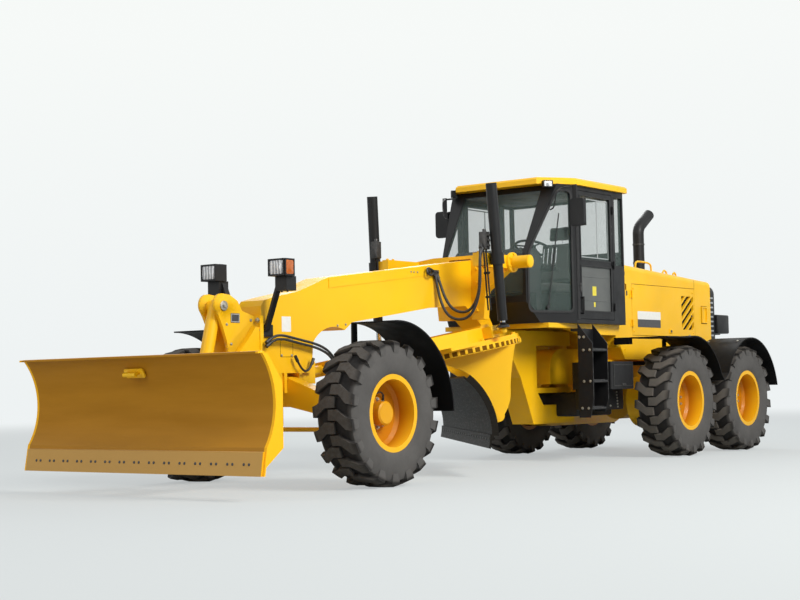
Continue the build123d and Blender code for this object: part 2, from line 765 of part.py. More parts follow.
for side_name, sign in SIDES.items():
    frame = Plane(
        MACHINE.from_local_coords(Vector(sign * KINGPIN_X, 0, TYRE_RADIUS)),
        x_dir=(sign, 0, 0),
        z_dir=(0, 0, 1),
    )
    with BuildPart() as knuckle:
        for low, high in ((-YOKE_HEIGHT, -70 - GAP), (70 + GAP, YOKE_HEIGHT)):
            block(frame, (-60, 105), (-60, 60), (low, high))
        block(frame, (95, 125), (-60, 60), (-YOKE_HEIGHT, YOKE_HEIGHT))
        rod(frame, (0, 0, -YOKE_HEIGHT), (0, 0, YOKE_HEIGHT), KINGPIN_RADIUS)
        # spindle flange that carries the wheel's disc
        disc_back = TRACK / 2 + RIM_WIDTH / 2 - WHEELS[0][2] - 2 * DISC_WALL
        rod(frame, (125, 0, 0), (disc_back - KINGPIN_X - GAP, 0, 0), HUB_RADIUS - 15)
        # steering arm, rearward and below the beam
        arm_y = sign * STEER_ARM
        low, high = sorted((0, arm_y))
        block(frame, (-60, 20), (low, high), (-YOKE_HEIGHT, -YOKE_HEIGHT + 30))
    save(knuckle, f"knuckle_{side_name}")

    # fender strip behind the tyre's crown, carried on the knuckle by a bracket
    with BuildPart() as front_fender:
        near, far = sorted((sign * 880, sign * 1395))
        radius = TYRE_RADIUS + 170
        with BuildSketch(side(MACHINE, near)) as face:
            with BuildLine():
                ThreePointArc(
                    arc_point(0, radius, 92),
                    arc_point(0, radius, 46),
                    arc_point(0, radius, 0),
                )
                Line(arc_point(0, radius, 0), arc_point(0, radius - FENDER_SHEET, 0))
                ThreePointArc(
                    arc_point(0, radius - FENDER_SHEET, 0),
                    arc_point(0, radius - FENDER_SHEET, 46),
                    arc_point(0, radius - FENDER_SHEET, 92),
                )
                Line(
                    arc_point(0, radius - FENDER_SHEET, 92), arc_point(0, radius, 92)
                )
            make_face()
        extrude(face.sketch, amount=far - near)
        plate = min(sign * (KINGPIN_X - 60), sign * (KINGPIN_X - 78))
        foot = TYRE_RADIUS + 80
        prism(
            side(MACHINE, plate),
            [
                (-40, foot),
                (40, foot),
                (40, 950),
                arc_point(0, radius - 4, 26),
                arc_point(0, radius - 4, 30),
                (40, 1030),
                (40, TYRE_RADIUS + radius - 8),
                (-28, TYRE_RADIUS + radius - 4),
            ],
            18,
        )
    save(front_fender, f"front_fender_{side_name}")

with BuildPart() as tie_rod:
    stud_x = KINGPIN_X - 20
    aft, low = STEER_ARM - 30, TYRE_RADIUS - YOKE_HEIGHT - 40
    rod(MACHINE, (-stud_x - 14, aft, low), (stud_x + 14, aft, low), 22)
    for sign in (1, -1):
        top = TYRE_RADIUS - YOKE_HEIGHT - GAP
        rod(MACHINE, (sign * stud_x, aft, low), (sign * stud_x, aft, top), 14)
save(tie_rod, "tie_rod")

# ---- drawbar and circle, tilted together ---------------------------------------------------
BLADE_ANGLE = 47  # left end forward
BLADE_TILT = 11.3  # of the circle's plane, about the blade's own line
CIRCLE_REACH = 2390
CIRCLE_DROP = 106
CIRCLE_RADIUS = 785
CIRCLE_INNER = 640
CIRCLE_THICK = 70
LIFT_BALL_X = 835
LIFT_BALL_Y = 2261
LIFT_BALL_Z = -11
LIFT_BALL_RADIUS = 40
blade_line = Vector(cos(radians(BLADE_ANGLE)), -sin(radians(BLADE_ANGLE)), 0)
tilt_axis = Axis((0, 0, 0), blade_line)
DRAWBAR = Plane(
    MACHINE.from_local_coords(Vector(*BALL_AT)),
    x_dir=Vector(1, 0, 0).rotate(tilt_axis, BLADE_TILT),
    z_dir=Vector(0, 0, 1).rotate(tilt_axis, BLADE_TILT),
)
CIRCLE = Plane(
    DRAWBAR.from_local_coords(Vector(0, CIRCLE_REACH, -CIRCLE_DROP)),
    x_dir=blade_line,
    z_dir=DRAWBAR.z_dir,
)
with BuildPart() as drawbar:
    with Locations(MACHINE.from_local_coords(Vector(*BALL_AT))):
        Sphere(BALL_RADIUS)
    rod(DRAWBAR, (0, 20, 0), (0, 320, 0), 42)
    block(DRAWBAR, (-110, 110), (240, 420), (-70, 70))
    for sign in (1, -1):
        prism(
            plan(DRAWBAR, -70),
            [
                (sign * 10, 300),
                (sign * 110, 300),
                (sign * 620, 1900),
                (sign * 620, 2330),
                (sign * 500, 2330),
                (sign * 500, 1930),
            ],
            140,
        )
    block(DRAWBAR, (-620, 620), (2180, 2342), (-70, 90))
    # carrier plate over the ring
    low = -CIRCLE_DROP + GAP
    with BuildSketch(plan(DRAWBAR, low)) as face:
        with BuildLine():
            Polyline(
                (-560, 1660),
                (560, 1660),
                (700, 2050),
                (700, 2700),
                (480, 3080),
                (-480, 3080),
                (-700, 2700),
                (-700, 2050),
                close=True,
            )
        make_face()
        with Locations((0, CIRCLE_REACH)):
            Circle(430, mode=Mode.SUBTRACT)
    extrude(face.sketch, amount=-70 - low)
    for sign in (1, -1):
        near, far = sorted((sign * 600, sign * (LIFT_BALL_X - 100)))
        block(DRAWBAR, (near, far), (2190, 2330), (-60, 60))
        rod(
            DRAWBAR,
            (sign * (LIFT_BALL_X - 101), LIFT_BALL_Y, LIFT_BALL_Z),
            (sign * LIFT_BALL_X, LIFT_BALL_Y, LIFT_BALL_Z),
            22,
        )
        with Locations(
            DRAWBAR.from_local_coords(
                Vector(sign * LIFT_BALL_X, LIFT_BALL_Y, LIFT_BALL_Z)
            )
        ):
            Sphere(LIFT_BALL_RADIUS)
    # gearbox and motor that turn the ring
    block(DRAWBAR, (-150, 150), (1500, 1850), (-90, 90))
    rod(DRAWBAR, (0, 1640, 89), (0, 1640, 220), 95)
    rod(DRAWBAR, (0, 1640, 219), (0, 1640, 285), 60)
save(drawbar, "drawbar")

ARM_X = 480
ARM_WALL = 45
PIVOT_Y = 290
PIVOT_Z = -765
PIVOT_PIN = 30
with BuildPart() as circle:
    with BuildSketch(plan(CIRCLE, -CIRCLE_THICK)) as face:
        Circle(CIRCLE_RADIUS)
        Circle(CIRCLE_INNER, mode=Mode.SUBTRACT)
    extrude(face.sketch, amount=CIRCLE_THICK)
    for sign in (1, -1):
        near, far = sorted((sign * ARM_X, sign * (ARM_X + ARM_WALL)))
        with BuildSketch(side(CIRCLE, near)) as face:
            with BuildLine():
                root = -CIRCLE_THICK + 1
                Polyline((640, root), (-600, root), (-520, -130), (-120, -135))
                ThreePointArc((-120, -135), (62, -250), (180, -400))
                ThreePointArc((180, -400), (232, -580), (235, PIVOT_Z))
                ThreePointArc((235, PIVOT_Z), (300, PIVOT_Z - 65), (368, PIVOT_Z))
                ThreePointArc((368, PIVOT_Z), (452, -640), (490, -500))
                ThreePointArc((490, -500), (540, -330), (640, root))
            make_face()
        extrude(face.sketch, amount=ARM_WALL)
        rod(
            CIRCLE,
            (sign * (ARM_X - 5), PIVOT_Y, PIVOT_Z),
            (sign * (ARM_X + ARM_WALL + 5), PIVOT_Y, PIVOT_Z),
            PIVOT_PIN + GAP,
            mode=Mode.SUBTRACT,
        )
save(circle, "circle")

# ---- moldboard and its tilting bracket -----------------------------------------------------
MOLD_RADIUS = 673
MOLD_CENTRE = (-674, -714)  # in the circle's side view
MOLD_TOP = 41.9
MOLD_BOTTOM = -17
EDGE_TOP = -12
EDGE_BOTTOM = -23.7
MOLD_WALL = 20
MOLD_LEFT = 1900
MOLD_LENGTH = 3660
RAIL_DEPTH = 45


def mold_point(radius, angle):
    """A point of the moldboard's section."""
    return (
        MOLD_CENTRE[0] + radius * cos(radians(angle)),
        MOLD_CENTRE[1] + radius * sin(radians(angle)),
    )


def mold_band(start_x, length, inner, outer, start, stop):
    """A stretch of moldboard between two radii and two angles."""
    mid = (start + stop) / 2
    with BuildSketch(side(CIRCLE, start_x)) as face:
        with BuildLine():
            ThreePointArc(
                mold_point(inner, start), mold_point(inner, mid), mold_point(inner, stop)
            )
            Line(mold_point(inner, stop), mold_point(outer, stop))
            ThreePointArc(
                mold_point(outer, stop), mold_point(outer, mid), mold_point(outer, start)
            )
            Line(mold_point(outer, start), mold_point(inner, start))
        make_face()
    extrude(face.sketch, amount=length)


MOLD_RIGHT = MOLD_LEFT - MOLD_LENGTH
UPPER_RAIL = (22, 27)
LOWER_RAIL = (-12, -7)
with BuildPart() as moldboard:
    back = MOLD_RADIUS + MOLD_WALL
    mold_band(MOLD_RIGHT, MOLD_LENGTH, MOLD_RADIUS, back, MOLD_BOTTOM, MOLD_TOP)
    for at in (MOLD_RIGHT, MOLD_LEFT - 25):
        mold_band(at, 25, back - 1, back + RAIL_DEPTH, MOLD_BOTTOM + 4, MOLD_TOP - 3)
    mold_band(MOLD_RIGHT + 300, MOLD_LENGTH - 600, back - 1, back + RAIL_DEPTH, *UPPER_RAIL)
    mold_band(MOLD_RIGHT + 300, MOLD_LENGTH - 600, back - 1, back + RAIL_DEPTH, *LOWER_RAIL)
save(moldboard, "moldboard")

with BuildPart() as cutting_edge:
    mold_band(MOLD_RIGHT, MOLD_LENGTH, MOLD_RADIUS - 18, MOLD_RADIUS, EDGE_BOTTOM, EDGE_TOP)
save(cutting_edge, "cutting_edge")

BRACKET_X = ARM_X - 40
with BuildPart() as tip_bracket:
    shoe = MOLD_RADIUS + MOLD_WALL + RAIL_DEPTH + GAP + 1
    for sign in (1, -1):
        near, far = sorted((sign * (ARM_X - AIR), sign * (ARM_X - AIR - 50)))
        # plate from the pivot to the two shoes
        prism(
            side(CIRCLE, near),
            [
                mold_point(shoe, 27),
                mold_point(shoe, 22),
                mold_point(shoe + 40, 0),
                mold_point(shoe, -7),
                mold_point(shoe, -12),
                (200, -850),
                (330, -830),
                (350, -740),
                (160, -480),
                mold_point(shoe + 60, 27),
            ],
            far - near,
        )
        rod(
            CIRCLE,
            (sign * (ARM_X - AIR - 20), PIVOT_Y, PIVOT_Z),
            (sign * (ARM_X + ARM_WALL + 20), PIVOT_Y, PIVOT_Z),
            PIVOT_PIN,
        )
    rod(
        CIRCLE,
        (-ARM_X + AIR + 20, PIVOT_Y - 20, PIVOT_Z),
        (ARM_X - AIR - 20, PIVOT_Y - 20, PIVOT_Z),
        45,
    )
save(tip_bracket, "tip_bracket")

# ---- blade lift: saddle on the beam, two long cylinders ------------------------------------
TRUNNION_X = 806
TRUNNION_Y = 2489
TRUNNION_Z = 2200
BARREL_RADIUS = 58
BARREL_ABOVE = 785
BARREL_BELOW = 650
ROD_RADIUS = 28
CAP_RADIUS = 84
CAP_INNER = 72
SADDLE_FRONT_AFT = 2960
SADDLE_REAR_AFT = 3060
for side_name, sign in SIDES.items():
    top = MACHINE.from_local_coords(Vector(sign * TRUNNION_X, TRUNNION_Y, TRUNNION_Z))
    ball = DRAWBAR.from_local_coords(
        Vector(sign * LIFT_BALL_X, LIFT_BALL_Y, LIFT_BALL_Z)
    )
    reach = (ball - top).length
    # frame with its origin at the trunnion and x running down the rod
    frame = Plane(top, x_dir=ball - top, z_dir=Vector(1, 0, 0).cross(ball - top))
    with BuildPart() as lift_barrel:
        turning(
            frame,
            [
                (-BARREL_ABOVE, 0),
                (-BARREL_ABOVE, BARREL_RADIUS),
                (-60, BARREL_RADIUS),
                (-60, BARREL_RADIUS + 14),
                (60, BARREL_RADIUS + 14),
                (60, BARREL_RADIUS - 6),
                (BARREL_BELOW, BARREL_RADIUS - 6),
                (BARREL_BELOW, ROD_RADIUS + GAP),
                (BARREL_BELOW - 50, ROD_RADIUS + GAP),
                (BARREL_BELOW - 50, BARREL_RADIUS - 14),
                (-BARREL_ABOVE + 30, BARREL_RADIUS - 14),
                (-BARREL_ABOVE + 30, 0),
            ],
        )
        # trunnion pins, in line with the joint's axis
        pin = Plane(top, x_dir=(sign, 0, 0), z_dir=(0, 0, 1))
        rod(pin, (-BARREL_RADIUS - 60, 0, 0), (-BARREL_RADIUS - 5, 0, 0), 28)
    save(lift_barrel, f"lift_barrel_{side_name}")
    with BuildPart() as lift_rod:
        tip = reach - CAP_RADIUS
        travelled = reach - 755
        turning(
            frame,
            [
                (-630 + travelled, 0),
                (-630 + travelled, BARREL_RADIUS - 14 - GAP),
                (-570 + travelled, BARREL_RADIUS - 14 - GAP),
                (-570 + travelled, ROD_RADIUS),
                (tip + 4, ROD_RADIUS),
                (tip + 4, 0),
            ],
        )
        # domed cap over the ball
        turning(
            frame,
            [
                (reach - CAP_RADIUS * cos(radians(a)), CAP_RADIUS * sin(radians(a)))
                for a in (0, 22, 44, 64)
            ]
            + [
                (reach - CAP_INNER * cos(radians(a)), CAP_INNER * sin(radians(a)))
                for a in (60, 40, 20, 0)
            ],
        )
    save(lift_rod, f"lift_rod_{side_name}")

with BuildPart() as lift_saddle:
    # plate across the beam's end
    with BuildSketch(front(MACHINE, SADDLE_REAR_AFT)) as face:
        with BuildLine():
            Polyline(
                (-640, 2130),
                (-640, 2270),
                (-360, 2300),
                (360, 2300),
                (640, 2270),
                (640, 2130),
                (330, 1900),
                (300, 1600),
                (-300, 1600),
                (-330, 1900),
                close=True,
            )
        make_face()
    extrude(face.sketch, amount=SADDLE_REAR_AFT - SADDLE_FRONT_AFT)
    block(
        MACHINE,
        (-BEAM_HALF_WIDTH - GAP, BEAM_HALF_WIDTH + GAP),
        (SADDLE_FRONT_AFT - 1, SADDLE_REAR_AFT + 1),
        (1500, 2262 + GAP),
        mode=Mode.SUBTRACT,
    )
    for sign in (1, -1):
        near, far = sorted((sign * 560, sign * 640))
        block(
            MACHINE,
            (near, far),
            (TRUNNION_Y - 90, SADDLE_FRONT_AFT),
            (TRUNNION_Z - 70, TRUNNION_Z + 70),
        )
        near, far = sorted((sign * 640, sign * (TRUNNION_X - BARREL_RADIUS - 20)))
        block(
            MACHINE,
            (near, far),
            (TRUNNION_Y - 70, TRUNNION_Y + 70),
            (TRUNNION_Z - 60, TRUNNION_Z + 60),
        )
        rod(
            MACHINE,
            (sign * 660, TRUNNION_Y, TRUNNION_Z),
            (sign * 800, TRUNNION_Y, TRUNNION_Z),
            28 + GAP,
            mode=Mode.SUBTRACT,
        )
    # lock cylinder standing out of the left end
    rod(
        MACHINE,
        (640, SADDLE_REAR_AFT - 50, 2195),
        (880, SADDLE_REAR_AFT - 50, 2195),
        68,
    )
save(lift_saddle, "lift_saddle")

# ---- front dozer blade ---------------------------------------------------------------------
DOZER_HALF_WIDTH = 1448
DOZER_BOTTOM = 205
DOZER_TOP = 1180
DOZER_WALL = 16
DOZER_LIP = 50  # how far the folded top edge stands ahead of the sheet
DOZER_LIP_AFT = -NOSE_REACH + DOZER_LIP
DOZER_BACK = -1620  # rear of its ribs, where the arms bolt on
DOZER_PIVOT = (-560, 640)  # (aft, height) of the arms' hinge
DOZER_ARM_X = 330
BRACKET_PIN = (-883, 1641)
with BuildPart() as dozer_mount:
    # plate on the nose with the arms' lugs and the twin curved lift cheeks
    block(
        MACHINE,
        (-400, 400),
        (NOSE_FRONT_AFT - 45, NOSE_FRONT_AFT - GAP),
        (560, 1560),
    )
    block(
        MACHINE,
        (-BEAM_HALF_WIDTH, BEAM_HALF_WIDTH),
        (NOSE_FRONT_AFT - 1, -AXLE_PIN_REACH - AIR),
        (AXLE_PIN_HEIGHT - 60, NOSE_BOTTOM - GAP),
    )
    for sign in (1, -1):
        near, far = sorted((sign * 70, sign * 105))
        with BuildSketch(side(MACHINE, near)) as face:
            with BuildLine():
                pin_aft, pin_z = BRACKET_PIN
                Polyline(
                    (-800, 1120),
                    (NOSE_FRONT_AFT - 44, 1120),
                    (NOSE_FRONT_AFT - 44, 1555),
                    (-640, 1600),
                    (-700, 1690),
                    (-800, 1742),
                    (pin_aft - 10, pin_z + 110),
                )
                ThreePointArc(
                    (pin_aft - 10, pin_z + 110),
                    (pin_aft - 105, pin_z + 40),
                    (pin_aft - 80, pin_z - 60),
                )
                ThreePointArc((pin_aft - 80, pin_z - 60), (-872, 1400), (-800, 1120))
            make_face()
        extrude(face.sketch, amount=far - near)
        for at in (DOZER_ARM_X - 75, DOZER_ARM_X + 45):
            near, far = sorted((sign * at, sign * (at + 30)))
            prism(
                side(MACHINE, near),
                [
                    (NOSE_FRONT_AFT - 44, 570),
                    (NOSE_FRONT_AFT - 44, 790),
                    (DOZER_PIVOT[0] - 30, 715),
                    (DOZER_PIVOT[0] - 75, 640),
                    (DOZER_PIVOT[0] - 30, 575),
                ],
                far - near,
            )
        rod(
            MACHINE,
            (sign * (DOZER_ARM_X - 80), *DOZER_PIVOT),
            (sign * (DOZER_ARM_X + 80), *DOZER_PIVOT),
            30,
        )
    rod(MACHINE, (-110, *BRACKET_PIN), (110, *BRACKET_PIN), 26)
save(dozer_mount, "dozer_mount")

with BuildPart() as dozer_arms:
    for sign in (1, -1):
        near, far = sorted((sign * (DOZER_ARM_X - 40), sign * (DOZER_ARM_X + 40)))
        prism(
            side(MACHINE, near),
            [
                (DOZER_PIVOT[0] + 50, 640),
                (DOZER_PIVOT[0], 690),
                (-1000, 720),
                (DOZER_BACK + GAP, 700),
                (DOZER_BACK + GAP, 440),
                (-1100, 520),
                (DOZER_PIVOT[0], 590),
            ],
            far - near,
        )
        rod(
            MACHINE,
            (sign * (DOZER_ARM_X - 60), *DOZER_PIVOT),
            (sign * (DOZER_ARM_X + 60), *DOZER_PIVOT),
            30 + GAP,
            mode=Mode.SUBTRACT,
        )
    block(MACHINE, (-DOZER_ARM_X, DOZER_ARM_X), (-1180, -1060), (560, 680))
    # lug for the lift cylinder's fork
    prism(side(MACHINE, -20), [(-1170, 670), (-1070, 670), (-1075, 800), (-1165, 800)], 40)
    rod(MACHINE, (-24, -1120, 760), (24, -1120, 760), 24)
save(dozer_arms, "dozer_arms")

with BuildPart() as dozer_blade:
    with BuildSketch(side(MACHINE, -DOZER_HALF_WIDTH)) as face:
        with BuildLine():
            bulge = 150
            lip = DOZER_LIP_AFT
            Line((lip, DOZER_BOTTOM), (lip + 40, 430))
            ThreePointArc((lip + 40, 430), (lip + bulge, 800), (lip, DOZER_TOP))
            Line((lip, DOZER_TOP), (lip - DOZER_LIP, DOZER_TOP - 6))
            Line((lip - DOZER_LIP, DOZER_TOP - 6), (lip - DOZER_LIP, DOZER_TOP + 10))
            Line((lip - DOZER_LIP, DOZER_TOP + 10), (lip + DOZER_WALL, DOZER_TOP + 16))
            ThreePointArc(
                (lip + DOZER_WALL, DOZER_TOP + 16),
                (lip + bulge + DOZER_WALL, 800),
                (lip + 40 + DOZER_WALL, 430),
            )
            Line((lip + 40 + DOZER_WALL, 430), (lip + DOZER_WALL, DOZER_BOTTOM))
            Line((lip + DOZER_WALL, DOZER_BOTTOM), (lip, DOZER_BOTTOM))
        make_face()
    extrude(face.sketch, amount=2 * DOZER_HALF_WIDTH)
    # cutting edge bolted to the front of the sheet
    prism(
        side(MACHINE, -DOZER_HALF_WIDTH + 20),
        [
            (lip + 6, DOZER_BOTTOM),
            (lip - 12, DOZER_BOTTOM),
            (lip + 20, 395),
            (lip + 40, 400),
        ],
        2 * (DOZER_HALF_WIDTH - 20),
    )
    # end plates and back ribs, from the sheet back to a straight line
    for at, thick in (
        (-DOZER_HALF_WIDTH, 25),
        (DOZER_HALF_WIDTH - 25, 25),
        (-DOZER_ARM_X - 40, 80),
        (DOZER_ARM_X - 40, 80),
        (-900, 25),
        (875, 25),
    ):
        with BuildSketch(side(MACHINE, at)) as face:
            with BuildLine():
                Line((lip + DOZER_WALL, DOZER_BOTTOM + 60), (lip + 30 + DOZER_WALL, 430))
                ThreePointArc(
                    (lip + 30 + DOZER_WALL, 430),
                    (lip + bulge + DOZER_WALL - 2, 800),
                    (lip + DOZER_WALL, DOZER_TOP),
                )
                Line((lip + DOZER_WALL, DOZER_TOP), (lip + 60, DOZER_TOP))
                Line((lip + 60, DOZER_TOP), (DOZER_BACK, 950))
                Line((DOZER_BACK, 950), (DOZER_BACK, 420))
                Line((DOZER_BACK, 420), (lip + DOZER_WALL, DOZER_BOTTOM + 60))
            make_face()
        extrude(face.sketch, amount=thick)
save(dozer_blade, "dozer_blade")

dozer_top = MACHINE.from_local_coords(Vector(0, *BRACKET_PIN))
dozer_low = MACHINE.from_local_coords(Vector(0, -1120, 760))
dozer_reach = (dozer_low - dozer_top).length
frame = Plane(
    dozer_top, x_dir=dozer_low - dozer_top, z_dir=Vector(1, 0, 0).cross(dozer_low - dozer_top)
)
DOZER_BARREL_RUN = 530
DOZER_BARREL_RADIUS = 60
DOZER_BORE_RADIUS = 44
DOZER_ROD_RADIUS = 24
DOZER_PISTON = 320  # its face at rest, from the upper pin
with BuildPart() as dozer_barrel:
    turning(
        frame,
        [
            (0, 0),
            (0, DOZER_BARREL_RADIUS),
            (DOZER_BARREL_RUN, DOZER_BARREL_RADIUS),
            (DOZER_BARREL_RUN, DOZER_ROD_RADIUS + GAP),
            (DOZER_BARREL_RUN - 40, DOZER_ROD_RADIUS + GAP),
            (DOZER_BARREL_RUN - 40, DOZER_BORE_RADIUS),
            (60, DOZER_BORE_RADIUS),
            (60, 0),
        ],
    )
    rod(MACHINE, (-58, *BRACKET_PIN), (58, *BRACKET_PIN), DOZER_BARREL_RADIUS - 4)
    rod(MACHINE, (-70, *BRACKET_PIN), (70, *BRACKET_PIN), 26 + GAP, mode=Mode.SUBTRACT)
save(dozer_barrel, "dozer_barrel")
with BuildPart() as dozer_rod:
    turning(
        frame,
        [
            (DOZER_PISTON, 0),
            (DOZER_PISTON, DOZER_BORE_RADIUS - GAP),
            (DOZER_PISTON + 40, DOZER_BORE_RADIUS - GAP),
            (DOZER_PISTON + 40, DOZER_ROD_RADIUS),
            (dozer_reach - 95, DOZER_ROD_RADIUS),
            (dozer_reach - 95, 0),
        ],
    )
    # fork beside the lug
    rod(frame, (dozer_reach - 125, 0, 0), (dozer_reach - 90, 0, 0), 44)
save(dozer_rod, "dozer_rod")

# ---- head lamps ----------------------------------------------------------------------------
LAMP_X = 422
LAMP_AFT = -521
LAMP_Z = 1984
LAMP_HALF = 78
LAMP_BOX_AFT = (-466, -336)  # black box under each lamp
with BuildPart() as head_lamps:
    for sign in (1, -1):
        block(
            MACHINE,
            tuple(sorted((sign * (LAMP_X - 70), sign * (LAMP_X + 70)))),
            LAMP_BOX_AFT,
            (LAMP_Z - LAMP_HALF - 130, LAMP_Z - LAMP_HALF + 1),
        )
        # flat arm from the box down to a foot on the nose
        prism(
            front(MACHINE, LAMP_BOX_AFT[1] - 30),
            [
                (sign * (BEAM_HALF_WIDTH + 12), 1420),
                (sign * (BEAM_HALF_WIDTH + 40), 1420),
                (sign * (LAMP_X - 50), LAMP_Z - LAMP_HALF - 20),
                (sign * (LAMP_X - 78), LAMP_Z - LAMP_HALF - 20),
            ],
            60,
        )
        block(
            MACHINE,
            tuple(sorted((sign * (BEAM_HALF_WIDTH + GAP), sign * (BEAM_HALF_WIDTH + 25)))),
            (-426, -300),
            (1370, 1480),
        )
        block(
            MACHINE,
            tuple(sorted((sign * (LAMP_X - 95), sign * (LAMP_X + 95)))),
            (LAMP_AFT, LAMP_AFT + 140),
            (LAMP_Z - LAMP_HALF, LAMP_Z + LAMP_HALF),
        )
save(head_lamps, "head_lamps")

# ---- cab -----------------------------------------------------------------------------------
CAB_WALL = 45
CAB_TOP = 3120
CAB_NOSE_HALF_WIDTH = 560
CAB_SIDE_AFT = 4105  # where the side wall becomes square
WINDSHIELD_TOP_AFT = 3870
WINDSHIELD_KNEE = 2330
SKIRT_TOP = 1790
SKIRT_AFT = 3600
DOOR_FRONT = 4165
DOOR_REAR = 4950
DOOR_BOTTOM = 1607
DOOR_TOP = CAB_TOP - 50
DOOR_RAIL = 2250
DOOR_HINGES = (1760, 2250, CAB_TOP - 230)
GLASS = 8
PILLAR = 38


def corner_wall(sign):
    """The cab's slanted front side wall: sketch x runs back along it, sketch y is up."""
    run = CAB_SIDE_AFT - CAB_FRONT_AFT
    flare = CAB_HALF_WIDTH - CAB_NOSE_HALF_WIDTH
    at = (sign * CAB_NOSE_HALF_WIDTH, CAB_FRONT_AFT, 0)
    return place(MACHINE, at, (sign * flare, run, 0), (run, -sign * flare, 0))


def corner_pane(inset):
    """The slanted front side window's outline."""
    low, high = 1690 + inset, CAB_TOP - 70 - inset
    run = CAB_SIDE_AFT - CAB_FRONT_AFT
    length = hypot(run, CAB_HALF_WIDTH - CAB_NOSE_HALF_WIDTH)
    back = length - 60 - inset
    lean = (WINDSHIELD_TOP_AFT - CAB_FRONT_AFT) / (CAB_TOP - WINDSHIELD_KNEE)
    foot = PILLAR + inset
    return [
        (foot + 90, low),
        (back - 25, low),
        (back, low + 25),
        (back, high),
        (foot + lean * (high - WINDSHIELD_KNEE) * length / run, high),
        (foot, WINDSHIELD_KNEE),
        (foot, low + 150),
        (foot + 25, low + 60),
    ]


WINDSHIELD_LOW = 1860
WINDSHIELD_HIGH = CAB_TOP - 65
WINDSHIELD_HALF = CAB_NOSE_HALF_WIDTH - PILLAR
REAR_PANE = (DOOR_REAR + 56, CAB_REAR_AFT - 28)
REAR_PANE_SPAN = (2250, CAB_TOP - 70)
BACK_HALF = 735
BACK_PANE_SPAN = (2420, CAB_TOP - 70)
with BuildPart() as cab_shell:
    prism(
        plan(MACHINE, CAB_BOTTOM),
        [
            (-CAB_NOSE_HALF_WIDTH, CAB_FRONT_AFT),
            (CAB_NOSE_HALF_WIDTH, CAB_FRONT_AFT),
            (CAB_HALF_WIDTH, CAB_SIDE_AFT),
            (CAB_HALF_WIDTH, CAB_REAR_AFT),
            (-CAB_HALF_WIDTH, CAB_REAR_AFT),
            (-CAB_HALF_WIDTH, CAB_SIDE_AFT),
        ],
        CAB_TOP - CAB_BOTTOM,
    )
    # sloping windshield above, sloping skirt below
    prism(
        side(MACHINE, -1000),
        [
            (CAB_FRONT_AFT - 1, CAB_TOP + 1),
            (CAB_FRONT_AFT - 1, WINDSHIELD_KNEE),
            (CAB_FRONT_AFT, WINDSHIELD_KNEE),
            (WINDSHIELD_TOP_AFT, CAB_TOP + 1),
        ],
        2000,
        mode=Mode.SUBTRACT,
    )
    prism(
        side(MACHINE, -1000),
        [
            (CAB_FRONT_AFT - 1, CAB_BOTTOM - 1),
            (CAB_FRONT_AFT - 1, SKIRT_TOP),
            (CAB_FRONT_AFT, SKIRT_TOP),
            (SKIRT_AFT, CAB_BOTTOM - 1),
        ],
        2000,
        mode=Mode.SUBTRACT,
    )
    offset(cab_shell.part, amount=-CAB_WALL, kind=Kind.INTERSECTION, mode=Mode.SUBTRACT)
    block(
        MACHINE,
        (-WINDSHIELD_HALF, WINDSHIELD_HALF),
        (CAB_FRONT_AFT - 10, WINDSHIELD_TOP_AFT + 60),
        (WINDSHIELD_LOW, WINDSHIELD_HIGH),
        mode=Mode.SUBTRACT,
    )
    for sign in (1, -1):
        prism(corner_wall(sign), corner_pane(0), 80, both=True, mode=Mode.SUBTRACT)
    block(
        MACHINE,
        (-1000, 1000),
        (DOOR_FRONT, DOOR_REAR),
        (DOOR_BOTTOM, DOOR_TOP),
        mode=Mode.SUBTRACT,
    )
    block(MACHINE, (-1000, 1000), REAR_PANE, REAR_PANE_SPAN, mode=Mode.SUBTRACT)
    block(
        MACHINE,
        (-BACK_HALF, BACK_HALF),
        (CAB_REAR_AFT - CAB_WALL - 10, CAB_REAR_AFT + 10),
        BACK_PANE_SPAN,
        mode=Mode.SUBTRACT,
    )
    for sign in (1, -1):
        for z in DOOR_HINGES:
            hinge_half(sign, CAB_HALF_WIDTH, DOOR_REAR + 2, z, 1, pin=True)
save(cab_shell, "cab_shell")

with BuildPart() as cab_glass:
    # folded windshield pane
    lean = (WINDSHIELD_TOP_AFT - CAB_FRONT_AFT) / (CAB_TOP - WINDSHIELD_KNEE)
    head = WINDSHIELD_HIGH - GAP
    foot = WINDSHIELD_LOW + GAP
    at = CAB_FRONT_AFT + 16
    slope = (head - WINDSHIELD_KNEE) * lean
    prism(
        side(MACHINE, -WINDSHIELD_HALF + GAP),
        [
            (at, foot),
            (at, WINDSHIELD_KNEE),
            (at + slope, head),
            (at + slope + GLASS + 2, head),
            (at + GLASS, WINDSHIELD_KNEE),
            (at + GLASS, foot),
        ],
        2 * (WINDSHIELD_HALF - GAP),
    )
    for sign in (1, -1):
        wall = corner_wall(sign)
        prism(wall.offset(-sign * 24), corner_pane(GAP), GLASS)
        near, far = sorted((sign * (CAB_HALF_WIDTH - 20), sign * (CAB_HALF_WIDTH - 28)))
        block(
            MACHINE,
            (near, far),
            (REAR_PANE[0] + GAP, REAR_PANE[1] - GAP),
            (REAR_PANE_SPAN[0] + GAP, REAR_PANE_SPAN[1] - GAP),
        )
    block(
        MACHINE,
        (-BACK_HALF + GAP, BACK_HALF - GAP),
        (CAB_REAR_AFT - 28, CAB_REAR_AFT - 20),
        (BACK_PANE_SPAN[0] + GAP, BACK_PANE_SPAN[1] - GAP),
    )
save(cab_glass, "cab_glass")

